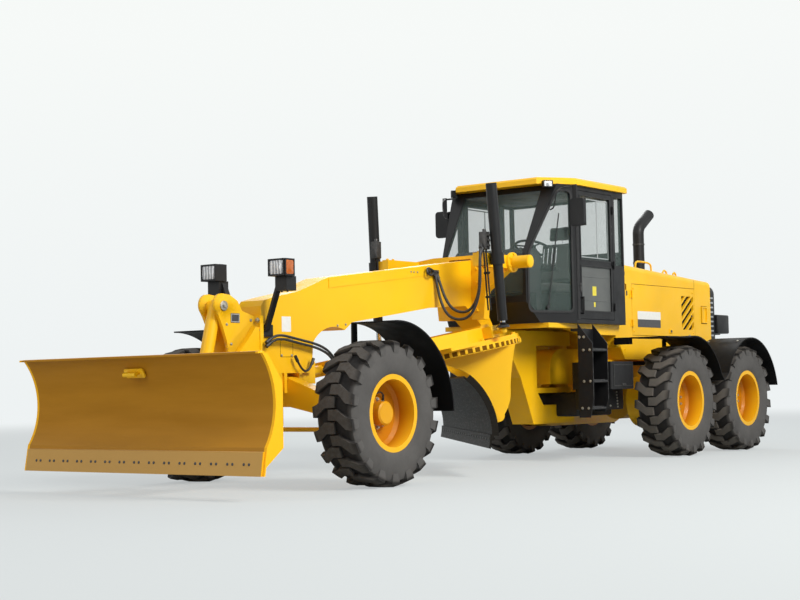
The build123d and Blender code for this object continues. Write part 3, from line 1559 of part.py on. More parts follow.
DOOR_MARGIN = 50
for side_name, sign in SIDES.items():
    skin = tuple(sorted((sign * (CAB_HALF_WIDTH - CAB_WALL), sign * CAB_HALF_WIDTH)))
    middle = tuple(sorted((sign * (CAB_HALF_WIDTH - 18), sign * (CAB_HALF_WIDTH - 26))))
    fore, rear = DOOR_FRONT + AIR, DOOR_REAR - AIR
    panes = (
        (DOOR_BOTTOM + AIR + 90, DOOR_RAIL - 35),
        (DOOR_RAIL + 35, DOOR_TOP - AIR - 50),
    )
    with BuildPart() as cab_door:
        block(MACHINE, skin, (fore, rear), (DOOR_BOTTOM + AIR, DOOR_TOP - AIR))
        for low, high in panes:
            block(
                MACHINE,
                skin,
                (fore + DOOR_MARGIN, rear - DOOR_MARGIN),
                (low, high),
                mode=Mode.SUBTRACT,
            )
        # pull handle near the front edge
        rod(
            MACHINE,
            (sign * (CAB_HALF_WIDTH + 32), fore + 30, 1660),
            (sign * (CAB_HALF_WIDTH + 32), fore + 30, 1860),
            12,
        )
        for z in (1672, 1848):
            rod(
                MACHINE,
                (sign * (CAB_HALF_WIDTH - 1), fore + 30, z),
                (sign * (CAB_HALF_WIDTH + 32), fore + 30, z),
                10,
            )
        for z in DOOR_HINGES:
            hinge_half(sign, CAB_HALF_WIDTH, DOOR_REAR + 2, z, -1)
    save(cab_door, f"cab_door_{side_name}")
    with BuildPart() as door_glass:
        for low, high in panes:
            block(
                MACHINE,
                middle,
                (fore + DOOR_MARGIN + GAP, rear - DOOR_MARGIN - GAP),
                (low + GAP, high - GAP),
            )
    save(door_glass, f"door_glass_{side_name}")

ROOF_HALF_WIDTH = 828
ROOF_TOP = CAB_TOP + 75
ROOF_FRONT_HALF = 550
ROOF_FRONT_AFT = WINDSHIELD_TOP_AFT - 170
ROOF_CORNER = (740, ROOF_FRONT_AFT + 250)  # where the slanted front corner ends
ROOF_REAR_AFT = CAB_REAR_AFT + 85
roof_half = [
    (ROOF_FRONT_HALF, ROOF_FRONT_AFT),
    ROOF_CORNER,
    (ROOF_HALF_WIDTH, CAB_SIDE_AFT + 5),
    (ROOF_HALF_WIDTH, ROOF_REAR_AFT - 40),
    (ROOF_HALF_WIDTH - 40, ROOF_REAR_AFT),
]
with BuildPart() as cab_roof:
    prism(
        plan(MACHINE, CAB_TOP),
        roof_half + [(-x, aft) for x, aft in reversed(roof_half)],
        ROOF_TOP - CAB_TOP,
    )
    chamfer(cab_roof.faces().sort_by(Axis.Z)[-1].edges(), 22)
save(cab_roof, "cab_roof")

# on the roof's slanted front corners, square to them
with BuildPart() as work_lamps:
    for sign in (1, -1):
        corner_x, corner_aft = ROOF_CORNER
        run = (sign * (corner_x - ROOF_FRONT_HALF), corner_aft - ROOF_FRONT_AFT, 0)
        at = (sign * (ROOF_FRONT_HALF + 72), ROOF_FRONT_AFT + 95, 0)
        edge = place(MACHINE, at, run, (0, 0, 1))
        depth = tuple(sorted((-sign * GAP, -sign * 48)))
        block(edge, (-55, 55), depth, (CAB_TOP - 42, CAB_TOP + 32))
save(work_lamps, "work_lamps")

# ---- inside the cab ------------------------------------------------------------------------
FLOOR = CAB_BOTTOM + CAB_WALL
SEAT_AFT = 4800
SEAT_TOP = 2080
with BuildPart() as seat_base:
    block(MACHINE, (-190, 190), (SEAT_AFT - 180, SEAT_AFT + 180), (FLOOR, SEAT_TOP - 130))
    fillet(seat_base.edges().filter_by(Axis.Z), 40)
save(seat_base, "seat_base")
with BuildPart() as seat_pads:
    block(
        MACHINE, (-250, 250), (SEAT_AFT - 260, SEAT_AFT + 240), (SEAT_TOP - 130 + GAP, SEAT_TOP)
    )
    fillet(seat_pads.edges().filter_by(Axis.Z), 70)
    prism(
        side(MACHINE, -240),
        [
            (SEAT_AFT + 110, SEAT_TOP + GAP),
            (SEAT_AFT + 230, SEAT_TOP + GAP),
            (SEAT_AFT + 330, SEAT_TOP + 700),
            (SEAT_AFT + 240, SEAT_TOP + 700),
        ],
        480,
    )
save(seat_pads, "seat_pads")
COLUMN_AFT = 4290
with BuildPart() as steering_console:
    prism(
        side(MACHINE, -130),
        [
            (COLUMN_AFT - 60, FLOOR),
            (COLUMN_AFT + 120, FLOOR),
            (COLUMN_AFT + 120, 2050),
            (COLUMN_AFT + 170, 2350),
            (COLUMN_AFT + 70, 2410),
            (COLUMN_AFT - 60, 2150),
        ],
        260,
    )
    rod(MACHINE, (0, COLUMN_AFT + 110, 2350), (0, COLUMN_AFT + 165, 2493), 26)
    # steering wheel
    centre = (0, COLUMN_AFT + 161, 2482)
    tilted = place(MACHINE, centre, (1, 0, 0), (0, 50, 130))
    with Locations(tilted):
        Torus(200, 15)
    rod(tilted, (0, 0, 0), (0, 0, 30), 40)
    for turn in (90, 210, 330):
        x, y = 195 * cos(radians(turn)), 195 * sin(radians(turn))
        rod(tilted, (0, 0, 15), (x, y, 0), 9)
save(steering_console, "steering_console")
DASH_AFT = CAB_FRONT_AFT + 75
DASH_HALF_WIDTH = 475
with BuildPart() as dash_cowl:
    prism(
        side(MACHINE, -DASH_HALF_WIDTH),
        [
            (DASH_AFT, 1900),
            (DASH_AFT + 330, 1900),
            (DASH_AFT + 390, 2280),
            (DASH_AFT + 300, 2400),
            (DASH_AFT + 100, 2400),
            (DASH_AFT, 2300),
        ],
        2 * DASH_HALF_WIDTH,
    )
    block(
        MACHINE,
        (-DASH_HALF_WIDTH, DASH_HALF_WIDTH),
        (DASH_AFT + 270, DASH_AFT + 330),
        (FLOOR, 1901),
    )
save(dash_cowl, "dash_cowl")

# ---- mirrors, ladders, side boxes ----------------------------------------------------------
MIRROR_X = 925
MIRROR_AFT = 3950
MIRROR_Z = CAB_TOP - 330
MIRROR_FOOT = CAB_NOSE_HALF_WIDTH + (CAB_HALF_WIDTH - CAB_NOSE_HALF_WIDTH) * (
    MIRROR_AFT - CAB_FRONT_AFT
) / (CAB_SIDE_AFT - CAB_FRONT_AFT)
with BuildPart() as mirrors:
    for sign in (1, -1):
        block(
            MACHINE,
            tuple(sorted((sign * (MIRROR_X - 90), sign * (MIRROR_X + 90)))),
            (MIRROR_AFT - 25, MIRROR_AFT + 25),
            (MIRROR_Z - 155, MIRROR_Z + 155),
        )
    fillet(mirrors.edges().filter_by(Axis.Y), 40)
    for sign in (1, -1):
        # strap up from the housing, and an arm from it to the cab's corner
        near, far = sorted((sign * (MIRROR_X - 60), sign * (MIRROR_X - 10)))
        block(
            MACHINE,
            (near, far),
            (MIRROR_AFT - 10, MIRROR_AFT + 10),
            (MIRROR_Z + 150, CAB_TOP - 18),
        )
        rod(
            MACHINE,
            (sign * (MIRROR_X - 50), MIRROR_AFT, CAB_TOP - 34),
            (sign * (MIRROR_FOOT + 3), MIRROR_AFT, CAB_TOP - 34),
            10,
        )
save(mirrors, "mirrors")

LADDER_INNER = 790
LADDER_OUTER = 975
LADDER_FRONT = 4100
LADDER_REAR = 4440
LADDER_BOTTOM = 500
LADDER_TOE = 45  # how far its foot is cut back, clear of the swinging blade
with BuildPart() as ladders:
    for sign in (1, -1):
        for aft, lower in ((LADDER_FRONT, 0), (LADDER_REAR - 12, 60)):
            prism(
                front(MACHINE, aft + 12),
                [
                    (sign * LADDER_INNER, LADDER_BOTTOM + lower),
                    (sign * (LADDER_OUTER - LADDER_TOE), LADDER_BOTTOM + lower),
                    (sign * LADDER_OUTER, LADDER_BOTTOM + 200),
                    (sign * LADDER_OUTER, 1330),
                    (sign * LADDER_INNER, CAB_BOTTOM - 5),
                ],
                12,
            )
        for z, toe in ((LADDER_BOTTOM + 90, 30), (890, 0), (1240, 0)):
            near, far = sorted((sign * LADDER_INNER, sign * (LADDER_OUTER - toe)))
            block(MACHINE, (near, far), (LADDER_FRONT + 1, LADDER_REAR - 1), (z, z + 30))
        # hanger to the cab outrigger
        near, far = sorted((sign * OUTRIGGER_OUTER, sign * (LADDER_INNER + 5)))
        block(MACHINE, (near, far), (LADDER_FRONT, LADDER_REAR), (1470, 1500))
save(ladders, "ladders")

SIDE_BOX_INNER = 470
SIDE_BOX_OUTER = 1000
SIDE_BOX_TOP = 1125
SIDE_BOX_REAR = FRONT_TANDEM_AFT - TYRE_RADIUS - 123.5
with BuildPart() as side_boxes:
    for sign in (1, -1):
        near, far = sorted((sign * SIDE_BOX_INNER, sign * SIDE_BOX_OUTER))
        block(MACHINE, (near, far), (LADDER_REAR + 40, SIDE_BOX_REAR), (810, SIDE_BOX_TOP))
    fillet(side_boxes.edges().filter_by(Axis.Z), 30)
    # hanger plates up to the outriggers
    for sign in (1, -1):
        near, far = sorted((sign * (OUTRIGGER_INNER + 40), sign * (OUTRIGGER_INNER + 60)))
        block(
            MACHINE,
            (near, far),
            (LADDER_REAR + 160, SIDE_BOX_REAR - 100),
            (SIDE_BOX_TOP - 1, CAB_BOTTOM - 120),
        )
save(side_boxes, "side_boxes")
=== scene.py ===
# %% [markdown]
# # Dressing a motor grader
# The grader comes from CAD as a frame of named, jointed pieces. This lesson gives it paint, rubber,
# glass and the small parts that a workshop adds last. The frame is loaded first and is never changed:
# each new piece takes its place from the boxes of the frame's nodes, and rides on one of its bodies.

# %% Load the frame
import json
import math

import bmesh
import bpy
from mathutils import Matrix, Vector


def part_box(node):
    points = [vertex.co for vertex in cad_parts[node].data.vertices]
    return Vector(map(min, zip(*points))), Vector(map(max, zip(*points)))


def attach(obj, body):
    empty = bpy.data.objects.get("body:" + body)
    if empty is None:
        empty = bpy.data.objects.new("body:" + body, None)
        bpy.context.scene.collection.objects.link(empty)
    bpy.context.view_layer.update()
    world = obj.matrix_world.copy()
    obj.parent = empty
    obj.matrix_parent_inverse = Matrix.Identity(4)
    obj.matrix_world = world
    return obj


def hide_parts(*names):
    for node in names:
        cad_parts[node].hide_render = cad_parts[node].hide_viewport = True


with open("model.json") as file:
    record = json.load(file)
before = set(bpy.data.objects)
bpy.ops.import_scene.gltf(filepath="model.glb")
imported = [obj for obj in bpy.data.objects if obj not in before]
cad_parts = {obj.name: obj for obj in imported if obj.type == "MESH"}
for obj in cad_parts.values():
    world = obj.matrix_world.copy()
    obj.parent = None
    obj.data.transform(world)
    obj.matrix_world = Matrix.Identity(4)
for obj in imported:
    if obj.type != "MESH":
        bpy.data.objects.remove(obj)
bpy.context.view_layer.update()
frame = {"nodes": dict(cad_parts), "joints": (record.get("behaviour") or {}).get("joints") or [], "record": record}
nodes = frame["nodes"]

# %% [markdown]
# ## Where things are
# On a real machine a fitter measures from the part that a piece is bolted to. Here `low` and `high` read
# the corners of a node's box, and `middle` its centre, so a bolt or a lamp lens follows its carrier.

# %% Corners of the frame's nodes
X, Y, Z = 0, 1, 2
SIDES = (("left", 1), ("right", -1))


def low(node, axis):
    """The lowest coordinate of a CAD node along an axis."""
    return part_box(node)[0][axis]


def high(node, axis):
    """The highest coordinate of a CAD node along an axis."""
    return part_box(node)[1][axis]


def middle(node):
    """The centre of a CAD node's box."""
    a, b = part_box(node)
    return (Vector(a) + Vector(b)) / 2


# %% [markdown]
# ## The camera
# A three-quarter view from the front left, taken low down with a long lens, shows the blade, the arched
# beam and the cab in one picture. The camera is turned by three rotations, in this order: it stands up
# and tilts, it turns to its bearing, and a slight roll levels the ground line as the eye sees it.

# %% Camera
CAMERA_PLACE = (9.685, -14.165, 0.8985)
CAMERA_BEARING = 37.2
CAMERA_TILT_UP = 3.17
CAMERA_ROLL = -1.14
LENS_LENGTH = 69.54

camera_data = bpy.data.cameras.new("camera")
camera_data.lens = LENS_LENGTH
camera_data.sensor_width = 36
camera_data.clip_end = 200
camera = bpy.data.objects.new("camera", camera_data)
turn = (
    Matrix.Rotation(math.radians(CAMERA_BEARING), 4, "Z")
    @ Matrix.Rotation(math.radians(90 + CAMERA_TILT_UP), 4, "X")
    @ Matrix.Rotation(math.radians(CAMERA_ROLL), 4, "Z")
)
camera.matrix_world = Matrix.Translation(CAMERA_PLACE) @ turn
bpy.context.scene.collection.objects.link(camera)
bpy.context.scene.camera = camera
print("camera looks along", [round(v, 3) for v in turn @ Vector((0, 0, -1))])

# %% [markdown]
# ## Studio
# A pale floor and a pale room keep the eye on the machine. The room's light is weak and even; one large
# lamp from the right gives the flanks their bright paint, and a second, weaker one lifts the front.
# Rays that come straight from the camera, or that a polished surface sends on, see the backdrop's
# colour instead of the room's light, so the backdrop can be pale without adding any light.

# %% World
BACKDROP_HIGH = (0.925, 0.95, 0.935)
BACKDROP_LOW = (0.855, 0.89, 0.895)
BACKDROP_RISE = 0.22  # how far up, as the sine of the height angle, the high colour starts
ROOM_LIGHT = 0.5

scene = bpy.context.scene
scene.view_settings.view_transform = "Standard"
world = bpy.data.worlds.new("room")
scene.world = world
world.use_nodes = True
wn, wl = world.node_tree.nodes, world.node_tree.links
wn.clear()
world_out = wn.new("ShaderNodeOutputWorld")
seen = wn.new("ShaderNodeBackground")
seen.inputs["Strength"].default_value = 1.0
facing = wn.new("ShaderNodeTexCoord")
height = wn.new("ShaderNodeSeparateXYZ")
rise = wn.new("ShaderNodeMapRange")
rise.inputs["From Max"].default_value = BACKDROP_RISE
shade = wn.new("ShaderNodeMix")
shade.data_type = "RGBA"
shade.inputs[6].default_value = (*BACKDROP_LOW, 1)
shade.inputs[7].default_value = (*BACKDROP_HIGH, 1)
wl.new(facing.outputs["Generated"], height.inputs[0])
wl.new(height.outputs["Z"], rise.inputs["Value"])
wl.new(rise.outputs["Result"], shade.inputs[0])
wl.new(shade.outputs[2], seen.inputs["Color"])
lit = wn.new("ShaderNodeBackground")
lit.inputs["Color"].default_value = (0.95, 0.98, 1.0, 1)
lit.inputs["Strength"].default_value = ROOM_LIGHT
path = wn.new("ShaderNodeLightPath")
direct = wn.new("ShaderNodeMath")
direct.operation = "MAXIMUM"
direct_or_through = wn.new("ShaderNodeMath")
direct_or_through.operation = "MAXIMUM"
mix_world = wn.new("ShaderNodeMixShader")
wl.new(path.outputs["Is Camera Ray"], direct.inputs[0])
wl.new(path.outputs["Is Glossy Ray"], direct.inputs[1])
wl.new(direct.outputs[0], direct_or_through.inputs[0])
wl.new(path.outputs["Is Transmission Ray"], direct_or_through.inputs[1])
wl.new(direct_or_through.outputs[0], mix_world.inputs["Fac"])
wl.new(lit.outputs[0], mix_world.inputs[1])
wl.new(seen.outputs[0], mix_world.inputs[2])
wl.new(mix_world.outputs[0], world_out.inputs["Surface"])
print("room light:", ROOM_LIGHT)


# %% Lamps
def lamp(name, place, aim, size, power, colour=(1, 1, 1)):
    """A square area lamp at a place, aimed at a point."""
    data = bpy.data.lights.new(name, "AREA")
    data.size = size
    data.energy = power
    data.color = colour
    obj = bpy.data.objects.new(name, data)
    towards = (Vector(aim) - Vector(place)).to_track_quat("-Z", "Y").to_matrix().to_4x4()
    obj.matrix_world = Matrix.Translation(place) @ towards
    scene.collection.objects.link(obj)
    return obj


lamp("key_lamp", (14, -3, 11), (0, 0, 1), 6, 2700, (1.0, 0.985, 0.95))
lamp("front_lamp", (-5, -18, 8), (0, -2, 1), 8, 500)
lamp("tail_lamp", (-9, 12, 10), (0, 2, 1), 8, 900)

# %% [markdown]
# The floor is a plain sheet. Near the machine it is a matt surface that takes its shadow; far off it
# fades into the backdrop's own colour, so that no edge shows where the sheet ends.

# %% Floor
FLOOR_TONE = (0.50, 0.53, 0.53)
FLOOR_FADE = (11.0, 34.0)  # distances at which the floor begins and ends its fade
FLOOR_GLOW_NEAR = 0.5  # the backdrop's share in what the eye sees of the floor close by

floor_mesh = bpy.data.meshes.new("studio_floor")
floor_bm = bmesh.new()
bmesh.ops.create_grid(floor_bm, x_segments=1, y_segments=1, size=120)
floor_bm.to_mesh(floor_mesh)
floor_bm.free()
floor = bpy.data.objects.new("studio_floor", floor_mesh)
scene.collection.objects.link(floor)
floor_finish = bpy.data.materials.new("studio_floor_matt")
floor_finish.use_nodes = True
fn, fl = floor_finish.node_tree.nodes, floor_finish.node_tree.links
matt = fn["Principled BSDF"]
matt.inputs["Base Color"].default_value = (*FLOOR_TONE, 1)
matt.inputs["Roughness"].default_value = 1.0
matt.inputs["Specular IOR Level"].default_value = 0.0
floor_place = fn.new("ShaderNodeTexCoord")
distance = fn.new("ShaderNodeVectorMath")
distance.operation = "LENGTH"
fade = fn.new("ShaderNodeMapRange")
fade.interpolation_type = "SMOOTHSTEP"
fade.inputs["From Min"].default_value = FLOOR_FADE[0]
fade.inputs["From Max"].default_value = FLOOR_FADE[1]
fade.inputs["To Min"].default_value = FLOOR_GLOW_NEAR
glow = fn.new("ShaderNodeEmission")
glow.inputs["Color"].default_value = (*BACKDROP_LOW, 1)
floor_ray = fn.new("ShaderNodeLightPath")
shown = fn.new("ShaderNodeMath")
shown.operation = "MULTIPLY"
floor_mix = fn.new("ShaderNodeMixShader")
fl.new(floor_place.outputs["Object"], distance.inputs[0])
fl.new(distance.outputs["Value"], fade.inputs["Value"])
fl.new(fade.outputs["Result"], shown.inputs[0])
fl.new(floor_ray.outputs["Is Camera Ray"], shown.inputs[1])
fl.new(shown.outputs[0], floor_mix.inputs["Fac"])
fl.new(matt.outputs[0], floor_mix.inputs[1])
fl.new(glow.outputs[0], floor_mix.inputs[2])
fl.new(floor_mix.outputs[0], fn["Material Output"].inputs["Surface"])
floor_mesh.materials.append(floor_finish)
print("floor fades from", FLOOR_FADE[0], "to", FLOOR_FADE[1], "m")

# %% [markdown]
# ## A small workshop for materials
# Every finish here is a Principled shader with a few procedural layers: a slow noise that shifts the
# colour a little from place to place, a fine one that roughens the surface, and dust that gathers low
# down. The helpers below only save wiring; each finish sets its own values.

# %% Material helpers
def new_material(name, colour, roughness, metallic=0.0, coat=0.0, specular=0.5):
    """A material with its own Principled shader, whose plain values are set on the shader itself."""
    m = bpy.data.materials.new(name)
    m.use_nodes = True
    shader = m.node_tree.nodes["Principled BSDF"]
    shader.inputs["Base Color"].default_value = (*colour, 1)
    shader.inputs["Roughness"].default_value = roughness
    shader.inputs["Metallic"].default_value = metallic
    shader.inputs["Coat Weight"].default_value = coat
    shader.inputs["Specular IOR Level"].default_value = specular
    shader.inputs["Coat Roughness"].default_value = 0.12
    m.diffuse_color = (*colour, 1)
    return m


def node(m, kind, **values):
    """A new node of a material; a value goes to the input socket or the setting of that name."""
    n = m.node_tree.nodes.new(kind)
    for key, value in values.items():
        if key in n.inputs:
            n.inputs[key].default_value = value
        else:
            setattr(n, key, value)
    return n


def wire(m, a, b):
    """Joins an output socket to an input socket."""
    m.node_tree.links.new(a, b)


def object_place(m):
    """The object coordinates of a material's surface."""
    return node(m, "ShaderNodeTexCoord").outputs["Object"]


def noise(m, scale, detail=3.0, rough=0.55, stretch=None):
    """A noise pattern over the object's own coordinates, about 0 to 1."""
    n = node(m, "ShaderNodeTexNoise", Scale=scale, Detail=detail, Roughness=rough)
    place = object_place(m)
    if stretch:
        mapping = node(m, "ShaderNodeMapping", Scale=stretch)
        wire(m, place, mapping.inputs["Vector"])
        place = mapping.outputs["Vector"]
    wire(m, place, n.inputs["Vector"])
    return n.outputs["Fac"]


def span(m, value, from_low, from_high, to_low, to_high):
    """Maps a value from one range to another, held at its ends."""
    n = node(m, "ShaderNodeMapRange")
    for socket, number in zip(n.inputs[1:5], (from_low, from_high, to_low, to_high)):
        socket.default_value = number
    wire(m, value, n.inputs["Value"])
    return n.outputs["Result"]


def mixed(m, factor, a, b):
    """A colour between a and b; each is a colour or a socket."""
    n = node(m, "ShaderNodeMix", data_type="RGBA")
    if hasattr(factor, "default_value"):
        wire(m, factor, n.inputs[0])
    else:
        n.inputs[0].default_value = factor
    for socket, c in ((n.inputs[6], a), (n.inputs[7], b)):
        if hasattr(c, "default_value"):
            wire(m, c, socket)
        else:
            socket.default_value = (*c, 1)
    return n.outputs[2]


def product(m, a, b):
    """Two values multiplied."""
    n = node(m, "ShaderNodeMath", operation="MULTIPLY")
    wire(m, a, n.inputs[0])
    wire(m, b, n.inputs[1])
    return n.outputs[0]


def bump(m, height, strength, distance):
    """Raises the surface by a height pattern."""
    n = node(m, "ShaderNodeBump", Strength=strength, Distance=distance)
    wire(m, height, n.inputs["Height"])
    shader = m.node_tree.nodes["Principled BSDF"]
    wire(m, n.outputs["Normal"], shader.inputs["Normal"])


def split_place(m):
    """The object coordinates' X, Y and Z as outputs of one node."""
    split = node(m, "ShaderNodeSeparateXYZ")
    wire(m, object_place(m), split.inputs[0])
    return split.outputs


def off_middle(m, place):
    """The distance from the machine's upright middle plane."""
    width = node(m, "ShaderNodeMath", operation="ABSOLUTE")
    wire(m, place["X"], width.inputs[0])
    return width.outputs[0]


def low_down(m, top):
    """1 on the ground, falling to 0 at a height: where road dust settles."""
    return span(m, split_place(m)["Z"], 0.0, top, 1.0, 0.0)


def finish(m, colour=None, roughness=None):
    """Wires a colour and a roughness pattern to the shader."""
    shader = m.node_tree.nodes["Principled BSDF"]
    if colour is not None:
        wire(m, colour, shader.inputs["Base Color"])
    if roughness is not None:
        wire(m, roughness, shader.inputs["Roughness"])
    return m


def two_tone(name, first, second, roughness, scale, detail=3.0, starts=0.4, ends=0.7, **settings):
    """A finish that wanders between two close tones as a noise goes from starts to ends."""
    m = new_material(name, first, roughness, **settings)
    return finish(m, mixed(m, span(m, noise(m, scale, detail), starts, ends, 0.0, 1.0), first, second))


print("helpers ready")

# %% [markdown]
# ## Machine paint
# Plant is sprayed with a thick glossy enamel. It never lies quite flat: a fine orange-peel bump breaks
# the reflections, the colour drifts by a few percent, and dust dulls it near the ground.

# %% Paints
DUST = (0.36, 0.27, 0.17)


def enamel(name, colour, roughness, coat, dust_top=1.0, dust_most=0.25, drift=0.06):
    """Sprayed enamel with orange peel, a slow drift of colour and dust low down."""
    m = new_material(name, colour, roughness, coat=coat, specular=0.3)
    darker = tuple(c * (1 - 2 * drift) for c in colour)
    painted = mixed(m, span(m, noise(m, 0.9, 2.0), 0.35, 0.65, 0.0, 1.0), darker, colour)
    dirt = product(m, low_down(m, dust_top), span(m, noise(m, 7.0, 6.0, 0.65), 0.4, 0.75, 0.0, dust_most))
    colour_out = mixed(m, dirt, painted, DUST)
    rough_out = span(m, noise(m, 5.0, 4.0), 0.3, 0.7, roughness * 0.8, roughness * 1.25)
    bump(m, noise(m, 260.0, 2.0), 0.05, 0.002)
    return finish(m, colour_out, rough_out)


yellow_paint = enamel("machine_yellow_enamel", (0.99, 0.545, 0.006), 0.40, 0.08)


# Down in the dish the rim's colour is painted shade: the flange's yellow made deeper and browner.
RIM_DISH_SHADE = (0.52, 0.185, 0.001)
DISH_FROM, DISH_TO = 0.02, 0.16  # how far in from the flange's face the dish's tone begins and is full


def rim_finish():
    """The body's yellow on the outer flange, with painted shade making it deeper and browner down in the dish."""
    m = enamel("rim_enamel", (0.90, 0.47, 0.006), 0.42, 0.05, 1.2, 0.15)
    flange = m.node_tree.nodes["Principled BSDF"].inputs["Base Color"].links[0].from_socket
    outer = high("rim_front_left", X)
    outward = span(m, off_middle(m, split_place(m)), outer - DISH_TO, outer - DISH_FROM, 0.0, 1.0)
    return finish(m, mixed(m, outward, RIM_DISH_SHADE, flange))


rim_paint = rim_finish()
black_enamel = enamel("satin_black_enamel", (0.010, 0.010, 0.011), 0.45, 0.03, 1.0, 0.06)
fender_black = enamel("deep_black_fender", (0.004, 0.004, 0.0045), 0.55, 0.0, 0.6, 0.05)
fender_black.node_tree.nodes["Principled BSDF"].inputs["Specular IOR Level"].default_value = 0.15
print("paints:", yellow_paint.name, rim_paint.name, black_enamel.name, fender_black.name)

# %% [markdown]
# ## Dozer blade paint
# The front blade wears a duller ochre, made darker still by painted shade, as its face turns away from the
# key lamp. Its face is matt and faintly brushed from being wiped down, and paler towards the bottom, while
# its end plates keep the bright enamel, so one material turns from ochre to yellow near the two ends of
# the blade. It reads the distance from the middle of the machine.

# %% Dozer paint
# The face's ochre is a duller paint, darkened further with painted shade.
DOZER_SHADED_OCHRE = (0.47, 0.205, 0.010)
EDGE_BAND_TOP = 0.40
END_PLATE = 0.028
BLEND = 0.002  # how soft the line between two paints is


def dozer_finish():
    """Ochre darkened with painted shade on the wide face, bright enamel on the end plates."""
    m = new_material("dozer_ochre_and_shade_enamel", DOZER_SHADED_OCHRE, 0.55, specular=0.12)
    place = split_place(m)
    edge = high("dozer_blade", X) - END_PLATE
    at_end = span(m, off_middle(m, place), edge - BLEND / 2, edge + BLEND / 2, 0.0, 1.0)
    brushed = noise(m, 3.0, 5.0, 0.6, (0.25, 1.0, 2.2))
    ochre = mixed(m, span(m, brushed, 0.35, 0.7, 0.0, 1.0), DOZER_SHADED_OCHRE, (0.40, 0.17, 0.008))
    scuffs = span(m, noise(m, 22.0, 7.0, 0.7, (0.15, 1.0, 1.0)), 0.62, 0.78, 0.0, 0.35)
    worn = mixed(m, scuffs, ochre, (0.52, 0.26, 0.035))
    on_band = span(m, place["Z"], EDGE_BAND_TOP - BLEND, EDGE_BAND_TOP + BLEND, 1.0, 0.0)
    # Paler towards the bottom of the face, and paler again on the band below EDGE_BAND_TOP.
    paler_low_down = mixed(m, product(m, low_down(m, 0.62), brushed), worn, (0.50, 0.29, 0.09))
    banded = mixed(m, on_band, paler_low_down, (0.58, 0.33, 0.095))
    colour = mixed(m, at_end, banded, (1.0, 0.50, 0.012))
    bump(m, noise(m, 180.0, 2.0), 0.08, 0.002)
    return finish(m, colour, span(m, brushed, 0.3, 0.7, 0.42, 0.62))


dozer_paint = dozer_finish()
print("dozer end plates from", round(high("dozer_blade", X) - END_PLATE, 3))

# %% [markdown]
# ## Bare and rubbed steel
# A moldboard arrives painted dark and is soon rubbed grey by the earth that rolls along it, in streaks
# that run the length of the blade. Cylinder rods are hard chrome: nearly a mirror, with hardly any bump.

# %% Steels
def rubbed_steel(name, dark, light, streaks):
    """Dark painted steel rubbed bright in streaks."""
    m = new_material(name, dark, 0.5, specular=0.12)
    rub = span(m, noise(m, 11.0, 8.0, 0.7, streaks), 0.5, 0.8, 0.0, 0.7)
    grime = span(m, noise(m, 2.3, 4.0), 0.4, 0.7, 0.0, 0.5)
    colour = mixed(m, grime, mixed(m, rub, dark, light), (0.016, 0.011, 0.007))
    bump(m, noise(m, 90.0, 4.0, 0.6, streaks), 0.12, 0.003)
    return finish(m, colour, span(m, rub, 0.0, 0.8, 0.55, 0.33))


CHROME = (0.72, 0.73, 0.75)
DOWN_THE_BLADE = (1.0, 1.0, 6.0)  # how the pattern is stretched
BLADE_DARK, BLADE_BRIGHT = (0.007, 0.006, 0.004), (0.040, 0.034, 0.028)
blade_steel = rubbed_steel("rubbed_blade_steel", BLADE_DARK, BLADE_BRIGHT, DOWN_THE_BLADE)
rod_chrome = new_material("hard_chrome", CHROME, 0.12, metallic=1.0)
finish(rod_chrome, None, span(rod_chrome, noise(rod_chrome, 30.0, 3.0, 0.5, (1, 1, 8)), 0.3, 0.7, 0.08, 0.2))


def rod_with_dark_cap(name, cap_top):
    """Hard chrome above a height, black enamel on the cap below it."""
    m = new_material(name, CHROME, 0.15)
    above = span(m, split_place(m)["Z"], cap_top - BLEND / 2, cap_top + BLEND / 2, 0.0, 1.0)
    wire(m, above, m.node_tree.nodes["Principled BSDF"].inputs["Metallic"])
    worn = span(m, noise(m, 30.0, 3.0), 0.3, 0.7, 0.12, 0.25)
    return finish(m, mixed(m, above, (0.012, 0.012, 0.013), CHROME), worn)


CAP_TALL = 0.058  # of the domed cap at a lift rod's foot
lift_rod_finish = {
    f"lift_rod_{side}": rod_with_dark_cap(f"lift_rod_finish_{side}", low(f"lift_rod_{side}", Z) + CAP_TALL)
    for side, sign in SIDES
}
zinc = two_tone("zinc_plated_steel", (0.55, 0.53, 0.46), (0.38, 0.37, 0.35), 0.35, 60.0, metallic=0.9)
black_steel = two_tone(
    "oiled_black_steel", (0.035, 0.035, 0.036), (0.07, 0.065, 0.06), 0.4, 50.0, 4.0, metallic=0.4
)
print("steels ready")

# %% [markdown]
# ## Rubber
# A new tyre is charcoal with a grey bloom. Its tread blocks take a tone that the side walls lack: a brown dust
# on the middle and rear wheels, and on the front ones a tone darker than the rubber. The grooves between them
# are darkened with painted shade, and the moulded surface is matt with a fine grain. The tread's tone and the
# grooves' painted shade follow the distance from the axle, so they turn with the wheel: each wheel is given
# its own copy of the finish, centred on its hub.

# %% Tyre rubber
RUBBER = (0.074, 0.070, 0.067)
REAR_DUST = (0.125, 0.108, 0.090)
# The tread's tone: a brown dust on the middle and rear wheels, a tone darker than the rubber on the front ones.
TREAD_TONE = {"front": (0.058, 0.050, 0.042), "middle": REAR_DUST, "rear": REAR_DUST}
# Near-black painted shade for the grooves between the lugs.
GROOVE_SHADE = (0.009, 0.008, 0.008)
BLOOM = tuple(tone * 1.3 for tone in RUBBER)
# how far in from the outer radius a tone begins and ends
TREAD_BAND, GROOVE_FOOT, GROOVE_TOP = (0.075, 0.020), (0.060, 0.042), (0.030, 0.010)


